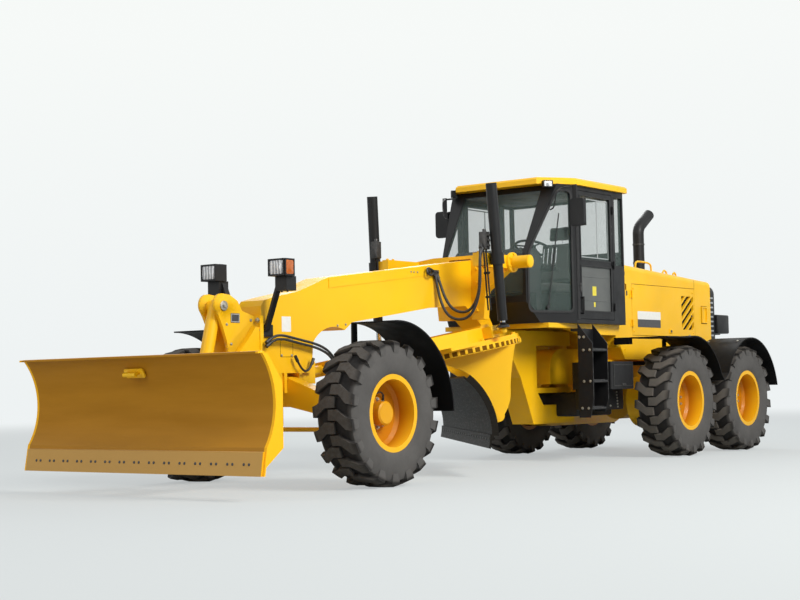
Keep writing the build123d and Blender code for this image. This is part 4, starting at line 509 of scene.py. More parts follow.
def tyre_rubber(name, hub, outer, tread_tone):
    """Charcoal rubber with a tone of its own on the tread and painted shade in the grooves, for a wheel at a hub.
    """
    m = new_material(name, RUBBER, 0.82, specular=0.3)
    shifted = node(m, "ShaderNodeMapping", Location=tuple(-c for c in hub))
    wire(m, object_place(m), shifted.inputs["Vector"])
    flat = node(m, "ShaderNodeVectorMath", operation="MULTIPLY")
    wire(m, shifted.outputs["Vector"], flat.inputs[0])
    flat.inputs[1].default_value = (0, 1, 1)
    length = node(m, "ShaderNodeVectorMath", operation="LENGTH")
    wire(m, flat.outputs[0], length.inputs[0])

    def band(depths, start, end):
        return span(m, length.outputs["Value"], outer - depths[0], outer - depths[1], start, end)

    grains = noise(m, 26.0, 8.0, 0.7)
    on_tread = product(m, band(TREAD_BAND, 0.0, 1.0), span(m, grains, 0.3, 0.62, 0.35, 1.0))
    bloom = mixed(m, span(m, noise(m, 3.5, 4.0), 0.35, 0.7, 0.0, 1.0), RUBBER, BLOOM)
    groove = product(m, band(GROOVE_FOOT, 0.0, 1.0), band(GROOVE_TOP, 0.9, 0.0))
    bump(m, noise(m, 140.0, 5.0, 0.6), 0.25, 0.003)
    # The tread's tone over the bloom, then painted shade in the grooves.
    worn = mixed(m, groove, mixed(m, on_tread, bloom, tread_tone), GROOVE_SHADE)
    return finish(m, worn, span(m, grains, 0.3, 0.7, 0.72, 0.92))


hose_rubber = two_tone("hose_rubber", (0.018, 0.018, 0.019), (0.035, 0.034, 0.033), 0.5, 40.0)
seal_rubber = new_material("seal_rubber", (0.015, 0.015, 0.016), 0.7)
finish(seal_rubber, None, span(seal_rubber, noise(seal_rubber, 30.0), 0.3, 0.7, 0.6, 0.8))
print("rubbers ready")

# %% [markdown]
# ## Cab trim, seat cloth and glass
# The cab's inside is grained plastic and a woven seat. Its glass is tinted a pale green-blue: from
# outside it shows a soft reflection over a clear, slightly cool view of the inside, so it is given a
# low alpha, a smooth surface and the tint as its colour.

# %% Cab materials
cab_glass = new_material("tinted_cab_glass", (0.16, 0.22, 0.20), 0.04)
glass_shader = cab_glass.node_tree.nodes["Principled BSDF"]
glass_shader.inputs["Alpha"].default_value = 0.16
glass_shader.inputs["IOR"].default_value = 1.5
smear = span(cab_glass, noise(cab_glass, 2.0, 4.0, 0.6, (1, 1, 0.5)), 0.35, 0.7, 0.03, 0.1)
finish(cab_glass, None, smear)
if hasattr(cab_glass, "surface_render_method"):
    cab_glass.surface_render_method = "BLENDED"

trim_plastic = two_tone(
    "grained_trim_plastic", (0.022, 0.022, 0.024), (0.034, 0.034, 0.036), 0.62, 4.0, starts=0.35, specular=0.3
)
grain = node(trim_plastic, "ShaderNodeTexVoronoi", Scale=420.0)
wire(trim_plastic, object_place(trim_plastic), grain.inputs["Vector"])
bump(trim_plastic, grain.outputs["Distance"], 0.25, 0.001)


def woven_cloth(name, dark, light, threads):
    """Plain weave: waves along the three axes, crossed in pairs, so it shows on every side."""
    m = new_material(name, dark, 0.9)
    m.node_tree.nodes["Principled BSDF"].inputs["Sheen Weight"].default_value = 0.25
    warp = node(m, "ShaderNodeTexWave", Scale=threads, bands_direction="X")
    weft = node(m, "ShaderNodeTexWave", Scale=threads, bands_direction="Z")
    across = node(m, "ShaderNodeTexWave", Scale=threads, bands_direction="Y")
    place = object_place(m)
    for wave in (warp, weft, across):
        wire(m, place, wave.inputs["Vector"])
    crossed = product(m, warp.outputs["Fac"], weft.outputs["Fac"])
    woven = node(m, "ShaderNodeMath", operation="MAXIMUM")
    wire(m, crossed, woven.inputs[0])
    wire(m, product(m, across.outputs["Fac"], weft.outputs["Fac"]), woven.inputs[1])
    bump(m, woven.outputs[0], 0.4, 0.002)
    worn = span(m, noise(m, 6.0, 4.0), 0.35, 0.7, 0.0, 0.6)
    colour = mixed(m, worn, mixed(m, woven.outputs[0], dark, light), light)
    return finish(m, colour)


seat_cloth = woven_cloth("woven_seat_cloth", (0.030, 0.028, 0.027), (0.070, 0.066, 0.062), 160.0)
cast_iron = two_tone(
    "painted_cast_iron", (0.10, 0.10, 0.10), (0.16, 0.14, 0.12), 0.65, 5.0, 5.0, metallic=0.2
)
bump(cast_iron, noise(cast_iron, 70.0, 5.0), 0.3, 0.003)
print("cab materials ready")

# %% [markdown]
# ## Painting the frame
# Every node of the frame gets its finish by name, so that none is left in its plain grey. Nodes that
# have no entry of their own take the finish of their slot in the record.

# %% Assign the finishes
FINISH_OF_SLOT = {
    "machine_paint": yellow_paint,
    "dozer_paint": dozer_paint,
    "black_paint": black_enamel,
    "blade_steel": blade_steel,
    "rod_chrome": rod_chrome,
    "cab_glass": cab_glass,
    "cab_trim": trim_plastic,
    "seat_fabric": seat_cloth,
    "engine_iron": cast_iron,
    "tyre": black_enamel,
}
FINISH_OF_NODE = {
    "rear_fenders": fender_black,
    "front_fender_left": fender_black,
    "front_fender_right": fender_black,
    "rear_grille": black_enamel,
    **{name: rim_paint for name in nodes if name.startswith("rim_")},
    **lift_rod_finish,
}
slot_of_node = {s["node"]: s["material_slot"] for s in frame["record"]["subparts"]}


def paint(obj, material):
    """Gives an object one finish."""
    obj.data.materials.clear()
    obj.data.materials.append(material)


for name, obj in nodes.items():
    paint(obj, FINISH_OF_NODE.get(name) or FINISH_OF_SLOT[slot_of_node[name]])
print("painted nodes:", len(nodes))

# %% [markdown]
# ## Making a piece
# A piece starts as a bmesh, is shaped by operators, and is turned into an object only when it is done.
# `finished` recalculates the normals, names the object, paints it and lets it ride on its body. An
# operator such as a bevel may reuse the place of an old vertex in the mesh's list, so a helper notes
# the vertices before it starts, and afterwards asks for those that weren't there.

# %% From a bmesh to a riding piece
def as_object(name, bm):
    """Turns a bmesh into a plain object in the scene."""
    mesh = bpy.data.meshes.new(name)
    bm.to_mesh(mesh)
    bm.free()
    obj = bpy.data.objects.new(name, mesh)
    scene.collection.objects.link(obj)
    return obj


def finished(name, bm, material, body, smooth):
    """Turns a bmesh into a painted object that rides on a body; edges sharper than smooth stay sharp."""
    bmesh.ops.remove_doubles(bm, verts=bm.verts, dist=0.00005)
    bmesh.ops.recalc_face_normals(bm, faces=bm.faces)
    obj = as_object(name, bm)
    for face in obj.data.polygons:
        face.use_smooth = True
    obj.data.set_sharp_from_angle(angle=math.radians(smooth))
    paint(obj, material)
    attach(obj, body)
    return obj


def added_since(bm, before):
    """The vertices that a mesh has gained since its vertices were noted."""
    return [v for v in bm.verts if v not in before]


def round_edges(bm, edges, offset, segments=2):
    """Rounds edges, or chamfers them with one segment."""
    bmesh.ops.bevel(
        bm, geom=edges, offset=offset, segments=segments, profile=0.5, affect="EDGES", material=-1
    )


def extruded(bm, faces, move=None, keep=False):
    """Extrudes faces and moves the new vertices; keep leaves the old faces as a back."""
    made = bmesh.ops.extrude_face_region(bm, geom=faces, use_keep_orig=keep)["geom"]
    new = [part for part in made if isinstance(part, bmesh.types.BMVert)]
    if move:
        bmesh.ops.translate(bm, vec=move, verts=new)
    return new


def aimed(direction):
    """The turn that stands a piece made along Z in a direction."""
    return Vector(direction).to_track_quat("Z", "Y").to_matrix().to_4x4()


def stand(bm, before, place, direction):
    """Sets what a mesh has gained since its vertices were noted on a place, and aims it."""
    matrix = Matrix.Translation(place) @ aimed(direction)
    bmesh.ops.transform(bm, matrix=matrix, verts=added_since(bm, before))


def cylinder(bm, radius, depth, segments):
    """The vertices of a new cylinder along Z."""
    return bmesh.ops.create_cone(
        bm, cap_ends=True, segments=segments, radius1=radius, radius2=radius, depth=depth
    )["verts"]


print("shaping helpers ready")


# %% Boxes, turned parts, bolts and bars
def add_box(bm, start, end, bevel=0.0, segments=2):
    """A box between two corners, its edges rounded."""
    made = bmesh.ops.create_cube(bm, size=1.0)["verts"]
    a, b = Vector(start), Vector(end)
    bmesh.ops.scale(bm, vec=b - a, verts=made)
    bmesh.ops.translate(bm, vec=(a + b) / 2, verts=made)
    if bevel:
        round_edges(bm, list({e for v in made for e in v.link_edges}), bevel, segments)
    return made


def add_turned(bm, profile, place, direction, steps=32):
    """A profile of (radius, along) points spun about its axis, set at a place and aimed."""
    before = set(bm.verts)
    ring = [bm.verts.new((radius, 0, along)) for radius, along in profile]
    edges = [bm.edges.new(pair) for pair in zip(ring, ring[1:])]
    bmesh.ops.spin(
        bm, geom=ring + edges, axis=(0, 0, 1), cent=(0, 0, 0), angle=2 * math.pi, steps=steps, use_merge=True
    )
    bmesh.ops.remove_doubles(bm, verts=added_since(bm, before), dist=0.00002)
    stand(bm, before, place, direction)


WASHER_TALL = 0.003


def add_bolt(bm, place, direction, across=0.03, height=0.012, washer=True):
    """A hexagon head with a chamfered top on a washer, standing on a surface."""
    before = set(bm.verts)
    base = 0.0
    if washer:
        disc = cylinder(bm, across * 0.68, WASHER_TALL, 16)
        bmesh.ops.translate(bm, vec=(0, 0, WASHER_TALL / 2), verts=disc)
        base = WASHER_TALL
    head = cylinder(bm, across / 2, height, 6)
    bmesh.ops.translate(bm, vec=(0, 0, base + height / 2), verts=head)
    top = base + height * 0.9
    rim = [e for e in {e for v in head for e in v.link_edges} if all(v.co.z > top for v in e.verts)]
    round_edges(bm, rim, height * 0.18, 1)
    stand(bm, before, place, direction)


def add_tube(bm, start, end, radius, segments=24):
    """A round bar between two points."""
    a, b = Vector(start), Vector(end)
    bar = cylinder(bm, radius, (b - a).length, segments)
    bmesh.ops.transform(bm, matrix=Matrix.Translation((a + b) / 2) @ aimed(b - a), verts=bar)


print("piece helpers ready")


# %% [markdown]
# ## Tyres
# An earthmover tyre carries staggered lugs: each starts as a bar on the crown, bends into a diagonal and
# runs over the shoulder onto the side wall. The carcass is one profile spun about the axle. A lug starts
# as a strip of a grid whose columns are stations along it. The strip is extruded, and each station
# is moved to its place between the carcass and the tread's outer face. One lug is then copied
# round the axle by a spin, and mirrored half a pitch on for the other side.

# %% Tyre sizes
TYRE_OUTER = (high("tyre_front_left", Z) - low("tyre_front_left", Z)) / 2
TYRE_HALF = (high("tyre_front_left", X) - low("tyre_front_left", X)) / 2
BEAD = 0.322
LUGS_A_SIDE = 18
LUG_DEPTH = 0.034
LUG_CHAMFER = 0.004
# along the lug: how far it leads or trails, half its width
LUG_LINE = ((0.0, 0.046), (0.0, 0.048), (0.072, 0.052), (0.088, 0.050), (0.088, 0.047), (0.088, 0.038))
# distance from the middle plane and radius, of the tread face and of the foot inside the carcass
LUG_FACE = (
    (-0.030, TYRE_OUTER),
    (0.066, TYRE_OUTER),
    (0.160, TYRE_OUTER - 0.004),
    (TYRE_HALF - 0.004, TYRE_OUTER - 0.024),
    (TYRE_HALF - 0.0005, TYRE_OUTER - 0.070),
    (TYRE_HALF - 0.010, TYRE_OUTER - 0.118),
)
LUG_FOOT = (
    (-0.030, TYRE_OUTER - 0.045),
    (0.066, TYRE_OUTER - 0.045),
    (0.160, TYRE_OUTER - 0.055),
    (TYRE_HALF - 0.040, TYRE_OUTER - 0.070),
    (TYRE_HALF - 0.030, TYRE_OUTER - 0.095),
    (TYRE_HALF - 0.030, TYRE_OUTER - 0.125),
)
print("tyre", round(2 * TYRE_OUTER, 3), "m across,", round(2 * TYRE_HALF, 3), "m wide")


# %% One lug
def add_lug(bm, lead, mirror, offset):
    """A lug near the front of the tyre; lead is 1 where its shoulder end is the lower one."""
    last = len(LUG_LINE) - 1
    strip = bmesh.ops.create_grid(bm, x_segments=last, y_segments=1, size=1.0)["verts"]
    top = extruded(bm, list({f for v in strip for f in v.link_faces}), keep=True)
    feet, heads = (
        {v: (round((v.co.x + 1) / 2 * last), 1 if v.co.y > 0 else -1) for v in row} for row in (strip, top)
    )
    for table, places, spread in ((LUG_FOOT, feet, 0.006), (LUG_FACE, heads, 0.0)):
        for v, (station, edge) in places.items():
            along, half = LUG_LINE[station]
            across, radius = table[station]
            turn_angle = lead * (along + edge * (half + spread)) / TYRE_OUTER + offset
            v.co = (mirror * across, -radius * math.cos(turn_angle), -radius * math.sin(turn_angle))

    def on_head(part):
        return all(v in heads for v in part.verts)

    round_top = {e for v in top for e in v.link_edges}
    rim_edges = [e for e in round_top if on_head(e) and sum(on_head(f) for f in e.link_faces) == 1]
    round_edges(bm, rim_edges, LUG_CHAMFER, 1)


print("lugs a side:", LUGS_A_SIDE)


# %% The whole tyre
def tyre_mesh(lead):
    """Carcass and lugs about the X axis, at the origin."""
    bm = bmesh.new()
    face = TYRE_OUTER - LUG_DEPTH
    half = [
        (face, 0.0),
        (face - 0.002, 0.09),
        (face - 0.008, 0.150),
        (face - 0.024, TYRE_HALF - 0.034),
        (face - 0.050, TYRE_HALF - 0.022),
        (face - 0.085, TYRE_HALF - 0.013),
        (face - 0.130, TYRE_HALF - 0.006),
        (face - 0.180, TYRE_HALF - 0.004),
        (face - 0.225, TYRE_HALF - 0.010),
        (face - 0.262, TYRE_HALF - 0.022),
        (BEAD + 0.022, TYRE_HALF - 0.036),
        (BEAD + 0.010, TYRE_HALF - 0.036),
        (BEAD, TYRE_HALF - 0.046),
        (BEAD - 0.004, TYRE_HALF - 0.08),
    ]
    other_half = [(radius, -wide) for radius, wide in reversed(half[1:])]
    add_turned(bm, other_half + half + other_half[:1], (0, 0, 0), (1, 0, 0), steps=96)
    pitch = 2 * math.pi / LUGS_A_SIDE
    lugs = bmesh.new()
    add_lug(lugs, lead, 1, 0.0)
    add_lug(lugs, lead, -1, pitch / 2)
    bmesh.ops.spin(
        lugs,
        geom=lugs.verts[:] + lugs.edges[:] + lugs.faces[:],
        axis=(1, 0, 0),
        cent=(0, 0, 0),
        angle=2 * math.pi - pitch,
        steps=LUGS_A_SIDE - 1,
        use_duplicate=True,
    )
    bmesh.ops.recalc_face_normals(lugs, faces=lugs.faces)
    lug_mesh = bpy.data.meshes.new("lugs")
    lugs.to_mesh(lug_mesh)
    lugs.free()
    bm.from_mesh(lug_mesh)
    bpy.data.meshes.remove(lug_mesh)
    return bm


for side, sign in SIDES:
    for wheel, lead in (("front", 1), ("middle", -1), ("rear", -1)):
        tyre_node = f"tyre_{wheel}_{side}"
        hub = middle(tyre_node)
        tyre_bm = tyre_mesh(lead)
        bmesh.ops.translate(tyre_bm, vec=hub, verts=tyre_bm.verts)
        rubber = tyre_rubber(f"rubber_{wheel}_{side}", hub, TYRE_OUTER, TREAD_TONE[wheel])
        tyre = finished(f"lugged_tyre_{wheel}_{side}", tyre_bm, rubber, f"wheel_{wheel}_{side}", 30)
        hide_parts(tyre_node)
print("tyre faces:", len(tyre.data.polygons))

# %% [markdown]
# ## More tools for small parts
# Covers, plates and lenses are cut from sheet with rounded corners, so one helper lays such a plate on
# any surface. Hydraulic hoses between two fittings are bent from a few points: a smooth curve is laid
# through them, given the hose's thickness and turned into a mesh, with a steel ferrule at each end.

# %% Plate and hose helpers
FRONT_AXLE_Y = middle("tyre_front_left")[Y]


def at(x, behind, z):
    """A point given as on the drawings: to the left, behind the front axle, above the ground."""
    return Vector((x, FRONT_AXLE_Y + behind, z))


def set_on(place, normal, up):
    """The matrix that takes a piece made flat on X and Y to a surface: Y becomes up, Z its normal."""
    out = Vector(normal).normalized()
    right = Vector(up).cross(out).normalized()
    rise = out.cross(right)
    turn = Matrix((right, rise, out)).transposed().to_4x4()
    return Matrix.Translation(place) @ turn


def side_spot(sign, x, behind, z):
    """A place on a side of the machine, and the direction that points out of it there."""
    return at(sign * x, behind, z), (sign, 0, 0)


def side_wall(sign, x, behind, z):
    """A place on an upright side wall, its outward direction, and up."""
    return *side_spot(sign, x, behind, z), (0, 0, 1)


def edges_above(verts, height):
    """The edges of some vertices that lie wholly above a height."""
    return [e for e in {e for v in verts for e in v.link_edges} if all(v.co.z > height for v in e.verts)]


def add_plate(bm, place, normal, up, size, corner=0.0, edge=0.0):
    """A sheet plate on a surface: size is width, height and thickness, corner rounds its outline."""
    before = set(bm.verts)
    thick = size[2]
    made = bmesh.ops.create_cube(bm, size=1.0)["verts"]
    bmesh.ops.scale(bm, vec=size, verts=made)
    bmesh.ops.translate(bm, vec=(0, 0, thick / 2), verts=made)
    if corner:
        uprights = [
            e for e in {e for v in made for e in v.link_edges}
            if abs(e.verts[0].co.z - e.verts[1].co.z) > thick / 2
        ]
        round_edges(bm, uprights, corner, 4)
    if edge:
        round_edges(bm, edges_above(added_since(bm, before), thick * 0.99), edge)
    bmesh.ops.transform(bm, matrix=set_on(place, normal, up), verts=added_since(bm, before))


def raise_band(bm, face, wide, tall):
    """Turns one flat face into a raised band along the inside of its rim."""
    band = bmesh.ops.inset_region(bm, faces=[face], thickness=wide, use_boundary=True, use_even_offset=True)
    bmesh.ops.delete(bm, geom=[face], context="FACES_ONLY")
    extruded(bm, band["faces"], (0, 0, tall), keep=True)


def add_outline(bm, place, normal, up, size, wide, tall):
    """A raised frame, such as a seal or a seam, round a rectangle: wide across, tall off the surface."""
    before = set(bm.verts)
    made = bmesh.ops.create_grid(bm, x_segments=1, y_segments=1, size=0.5)["verts"]
    bmesh.ops.scale(bm, vec=(size[0], size[1], 1), verts=made)
    raise_band(bm, made[0].link_faces[0], wide, tall)
    bmesh.ops.transform(bm, matrix=set_on(place, normal, up), verts=added_since(bm, before))


def add_round(bm, place, direction, radius, height, segments=24, bevel=0.0):
    """A disc or boss standing on a surface, with an optional rounded rim."""
    before = set(bm.verts)
    made = cylinder(bm, radius, height, segments)
    bmesh.ops.translate(bm, vec=(0, 0, height / 2), verts=made)
    if bevel:
        round_edges(bm, edges_above(made, height * 0.9), bevel)
    stand(bm, before, place, direction)


def add_hose(bm, points, radius, ferrules=True):
    """A hose bent through points, with a swaged ferrule at each end."""
    curve = bpy.data.curves.new("hose_line", "CURVE")
    curve.dimensions = "3D"
    curve.bevel_depth = radius
    curve.bevel_resolution = 3
    curve.resolution_u = 6
    curve.use_fill_caps = True
    spline = curve.splines.new("NURBS")
    spline.points.add(len(points) - 1)
    for target, point in zip(spline.points, points):
        target.co = (*point, 1)
    spline.order_u = 3
    spline.use_endpoint_u = True
    holder = bpy.data.objects.new("hose_line", curve)
    mesh = bpy.data.meshes.new_from_object(holder)
    bm.from_mesh(mesh)
    bpy.data.objects.remove(holder)
    bpy.data.curves.remove(curve)
    bpy.data.meshes.remove(mesh)
    if ferrules:
        for end, beside in ((points[0], points[1]), (points[-1], points[-2])):
            along = (Vector(beside) - Vector(end)).normalized()
            add_tube(bm, Vector(end) - along * 0.012, Vector(end) + along * 0.05, radius * 1.45, 12)


print("front axle at y", round(FRONT_AXLE_Y, 4))

# %% [markdown]
# ## Finishes of the small parts
# Lamp lenses are ribbed, so light breaks in them; the turn signals are amber plastic. Plates and labels
# stay blank: a pale film or an anodised sheet with a faint unevenness.

# %% Small finishes
def lens_finish(name, colour, dark):
    """Ribbed plastic or glass over a reflector: bright with darker bands."""
    m = new_material(name, colour, 0.12, coat=0.5)
    bands = node(m, "ShaderNodeTexWave", Scale=9.0, Distortion=3.0, Detail=2.0, bands_direction="X")
    wire(m, object_place(m), bands.inputs["Vector"])
    patches = noise(m, 30.0, 3.0)
    tone = product(m, bands.outputs["Fac"], patches)
    bump(m, bands.outputs["Fac"], 0.2, 0.002)
    return finish(m, mixed(m, span(m, tone, 0.1, 0.45, 0.0, 1.0), dark, colour))


def film_finish(name, colour, other, roughness=0.35):
    """A blank label or plate with a faint unevenness."""
    return two_tone(name, colour, other, roughness, 25.0, starts=0.35, coat=0.2)


clear_lens = lens_finish("clear_lamp_lens", (0.86, 0.88, 0.90), (0.30, 0.31, 0.33))
amber_lens = lens_finish("amber_signal_lens", (1.0, 0.28, 0.02), (0.45, 0.10, 0.005))
red_lens = lens_finish("red_tail_lens", (0.62, 0.02, 0.015), (0.25, 0.008, 0.006))
white_film = film_finish("blank_white_film", (0.86, 0.85, 0.80), (0.80, 0.79, 0.75))
dark_plate = film_finish("blank_dark_plate", (0.035, 0.035, 0.038), (0.05, 0.05, 0.052), 0.4)
pale_plate = film_finish("blank_anodised_plate", (0.50, 0.50, 0.48), (0.42, 0.42, 0.41), 0.3)
yellow_film = film_finish("blank_yellow_film", (0.75, 0.62, 0.03), (0.70, 0.57, 0.03))
mirror_glass = new_material("mirror_glass", (0.75, 0.78, 0.80), 0.04, metallic=1.0)
finish(mirror_glass, None, span(mirror_glass, noise(mirror_glass, 8.0), 0.3, 0.7, 0.03, 0.07))
seam_shadow = new_material("seam_shadow", (0.20, 0.085, 0.003), 0.8, specular=0.1)
finish(seam_shadow, mixed(seam_shadow, noise(seam_shadow, 30.0), (0.20, 0.085, 0.003), (0.14, 0.06, 0.002)))
print("small finishes ready")

# %% [markdown]
# ## The dozer blade's hardware
# The wearing edge is a separate bar held by countersunk plough bolts in pairs, so their heads lie nearly
# flush. A stamped tow hook is welded high on the face, where a chain can be hooked over it. The
# heads are low discs turned on the edge's own slope.

# %% Plough bolts and the tow hook
DOZER_FACE_Y = low("dozer_blade", Y)
EDGE_SLOPE = (0, -0.986, 0.166)  # outward from the wearing edge
BOLT_PAIRS = 15
PAIR_PITCH = (high("dozer_blade", X) - 0.10) * 2 / BOLT_PAIRS
plough_bm = bmesh.new()
for pair in range(BOLT_PAIRS):
    for offset in (-0.028, 0.028):
        x = (pair - (BOLT_PAIRS - 1) / 2) * PAIR_PITCH + offset
        add_round(plough_bm, (x, DOZER_FACE_Y + 0.0545, 0.297), EDGE_SLOPE, 0.0125, 0.004, 14, 0.0015)
finished("dozer_plough_bolts", plough_bm, black_steel, "dozer", 30)

HOOK_X, HOOK_Y = -0.08, DOZER_FACE_Y + 0.125
hook_bm = bmesh.new()
add_plate(hook_bm, (HOOK_X, HOOK_Y, 1.05), (0, -1, -0.55), (0, -0.55, 1), (0.235, 0.085, 0.014), 0.02, 0.003)
for x in (-0.055, 0.055):
    add_tube(hook_bm, (HOOK_X + x, HOOK_Y - 0.005, 1.055), (HOOK_X + x, HOOK_Y - 0.06, 1.035), 0.016, 12)
bar_y = HOOK_Y - 0.062
add_tube(hook_bm, (HOOK_X - 0.075, bar_y, 1.034), (HOOK_X + 0.075, bar_y, 1.034), 0.019, 16)
finished("dozer_tow_hook", hook_bm, yellow_paint, "dozer", 35)

end_bolt_bm = bmesh.new()
for side, sign in SIDES:
    end_face = sign * high("dozer_blade", X) - sign * 0.009
    for z, back in ((1.10, 0.10), (0.98, 0.145), (0.40, 0.12)):
        add_bolt(end_bolt_bm, (end_face, DOZER_FACE_Y + 0.05 + back, z), (sign, 0, 0), 0.018, 0.0055, False)
finished("dozer_end_bolts", end_bolt_bm, zinc, "dozer", 30)
print("plough bolts:", 2 * BOLT_PAIRS)

# %% [markdown]
# ## The mount on the nose
# The frame's mounting plate is as wide at the top as at the bottom. The real one is cut back above the
# push arms' lugs, so that the beam's flank shows beside the lift cheeks. The same mesh is taken,
# its two upper corners are cut away with a boolean, and the result stands for the CAD node.

# %% Mount plate with its corners cut back
MOUNT_SHOULDER = 0.86  # height at which the plate narrows
MOUNT_NECK = 0.175  # half its width above that
mount_mesh = nodes["dozer_mount"].data.copy()
mount_work = bpy.data.objects.new("mount_work", mount_mesh)
scene.collection.objects.link(mount_work)
cutters = []
for side, sign in SIDES:
    cutter_bm = bmesh.new()
    corner = [
        (MOUNT_NECK, 1.62),
        (0.45, 1.62),
        (0.45, MOUNT_SHOULDER),
        (0.385, MOUNT_SHOULDER),
        (MOUNT_NECK + 0.05, 1.12),
        (MOUNT_NECK, 1.24),
    ]
    front_ring = [cutter_bm.verts.new((sign * x, FRONT_AXLE_Y - 0.49, z)) for x, z in corner]
    face = cutter_bm.faces.new(front_ring)
    extruded(cutter_bm, [face], (0, 0.075, 0))
    bmesh.ops.recalc_face_normals(cutter_bm, faces=cutter_bm.faces)
    cutter = as_object("mount_cutter", cutter_bm)
    cut = mount_work.modifiers.new("corner", "BOOLEAN")
    cut.operation = "DIFFERENCE"
    cut.solver = "EXACT"
    cut.object = cutter
    cutters.append(cutter)
bpy.context.view_layer.update()
shaped = bpy.data.meshes.new_from_object(mount_work.evaluated_get(bpy.context.evaluated_depsgraph_get()))
mount_bm = bmesh.new()
mount_bm.from_mesh(shaped)
for used in (mount_work, *cutters):
    spare = used.data
    bpy.data.objects.remove(used)
    bpy.data.meshes.remove(spare)
bpy.data.meshes.remove(shaped)
dozer_mount_shaped = finished(
    "dozer_mount_shaped", mount_bm, yellow_paint, "front_chassis", 30
)
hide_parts("dozer_mount")
print("mount faces:", len(dozer_mount_shaped.data.polygons))

# %% [markdown]
# ## Lift cheeks
# Two curved cheeks carry the dozer cylinder's upper pin. The pin ends in a keeper disc and one bolt. A
# bent gusset ties each cheek to the nose, and a blank plate is riveted to the left one.

# %% Pin keepers, gussets and bolts
CHEEK_X = 0.105
PIN_BEHIND, PIN_Z = -0.883, 1.641
PLATE_FACE = -0.480  # front of the mounting plate, behind the axle
SLOPE = ((-0.80, 1.16), (-0.60, 1.36), (-0.52, 1.455))  # the gusset's sloping edge
GUSSET = ((PLATE_FACE, 1.455), (PLATE_FACE, 1.10), (-0.78, 1.10), *SLOPE)
GUSSET_X = CHEEK_X + 0.062
keeper_bm = bmesh.new()
gusset_bm = bmesh.new()
for side, sign in SIDES:
    add_round(keeper_bm, *side_spot(sign, CHEEK_X, PIN_BEHIND, PIN_Z), 0.046, 0.012, 28, 0.003)
    add_bolt(keeper_bm, *side_spot(sign, CHEEK_X + 0.012, PIN_BEHIND, PIN_Z), 0.036, 0.014)
    for behind, z in ((-0.845, 1.475), (-0.79, 1.30), (-0.53, 1.18), (-0.53, 1.52)):
        add_bolt(keeper_bm, *side_spot(sign, CHEEK_X, behind, z), 0.020, 0.008)
    for z in (1.52, 1.43, 1.20):
        add_bolt(keeper_bm, at(sign * 0.145, PLATE_FACE, z), (0, -1, 0), 0.036, 0.016)
    # the gusset: an upright plate beside the cheek, square to the nose
    web = gusset_bm.faces.new([gusset_bm.verts.new(at(sign * GUSSET_X, b, z)) for b, z in GUSSET])
    extruded(gusset_bm, [web], (-sign * 0.014, 0, 0))
    # its flange, turned out along the sloping edge
    for start, end in zip(SLOPE, SLOPE[1:]):
        halfway = at(sign * GUSSET_X, (start[0] + end[0]) / 2, (start[1] + end[1]) / 2)
        run = Vector((0, end[0] - start[0], end[1] - start[1]))
        normal = Vector((0, -run.z, run.y))
        add_plate(gusset_bm, halfway + Vector((-sign * 0.028, 0, 0)), normal, run, (0.056, run.length, 0.010))
finished("cheek_pin_keepers", keeper_bm, zinc, "front_chassis", 30)
finished("cheek_gussets", gusset_bm, yellow_paint, "front_chassis", 30)

cheek_plate_bm = bmesh.new()
add_plate(cheek_plate_bm, *side_wall(1, CHEEK_X, -0.735, 1.535), (0.115, 0.085, 0.003), 0.006)
finished("cheek_blank_plate", cheek_plate_bm, dark_plate, "front_chassis", 30)
cheek_rim_bm = bmesh.new()
add_outline(cheek_rim_bm, *side_wall(1, CHEEK_X + 0.003, -0.735, 1.535), (0.105, 0.075), 0.006, 0.001)
finished("cheek_plate_border", cheek_rim_bm, pale_plate, "front_chassis", 30)
print("cheeks dressed")

# %% [markdown]
# ## Head lamps
# Each lamp is a moulded black case with a clear lens in front and an amber turn signal round its outer
# side. A raised bezel holds each lens. The lens sits a little behind the bezel's rim, as a real one does.

# %% Lenses and bezels
LAMP_WIDE, LAMP_DEEP, LAMP_TALL = 0.190, 0.140, 0.156
lamp_front = low("head_lamps", Y)
lamp_out = high("head_lamps", X)
lamp_z = high("head_lamps", Z) - LAMP_TALL / 2
for side, sign in SIDES:
    face_at = Vector((sign * (lamp_out - LAMP_WIDE / 2), lamp_front, lamp_z))
    side_at = Vector((sign * lamp_out, lamp_front + LAMP_DEEP * 0.46, lamp_z))
    bezel_bm = bmesh.new()
    add_outline(bezel_bm, face_at, (0, -1, 0), (0, 0, 1), (LAMP_WIDE, LAMP_TALL), 0.014, 0.013)
    add_outline(bezel_bm, side_at, (sign, 0, 0), (0, 0, 1), (LAMP_DEEP * 0.92, LAMP_TALL), 0.013, 0.010)
    for row in range(4):
        add_plate(
            bezel_bm,
            face_at + Vector((0, LAMP_DEEP - 0.012 - row * 0.02, LAMP_TALL / 2)),
            (0, 0, 1),
            (0, 1, 0),
            (LAMP_WIDE * 0.8, 0.006, 0.004),
            0.0,
            0.001,
        )
    for x in (-0.035, 0.035):
        foot_at = face_at + Vector((x, LAMP_DEEP * 0.75, -LAMP_TALL / 2 - 0.13))
        add_bolt(bezel_bm, foot_at, (0, 0, -1), 0.018, 0.010)
    finished(f"head_lamp_bezel_{side}", bezel_bm, black_enamel, "front_chassis", 30)
    lens_bm = bmesh.new()
    lens_size = (LAMP_WIDE - 0.03, LAMP_TALL - 0.03, 0.009)
    add_plate(lens_bm, face_at, (0, -1, 0), (0, 0, 1), lens_size, 0.018, 0.004)
    finished(f"head_lamp_lens_{side}", lens_bm, clear_lens, "front_chassis", 30)
    signal_bm = bmesh.new()
    signal_size = (LAMP_DEEP * 0.92 - 0.028, LAMP_TALL - 0.028, 0.009)
    add_plate(signal_bm, side_at, (sign, 0, 0), (0, 0, 1), signal_size, 0.014, 0.004)
    finished(f"turn_signal_{side}", signal_bm, amber_lens, "front_chassis", 30)
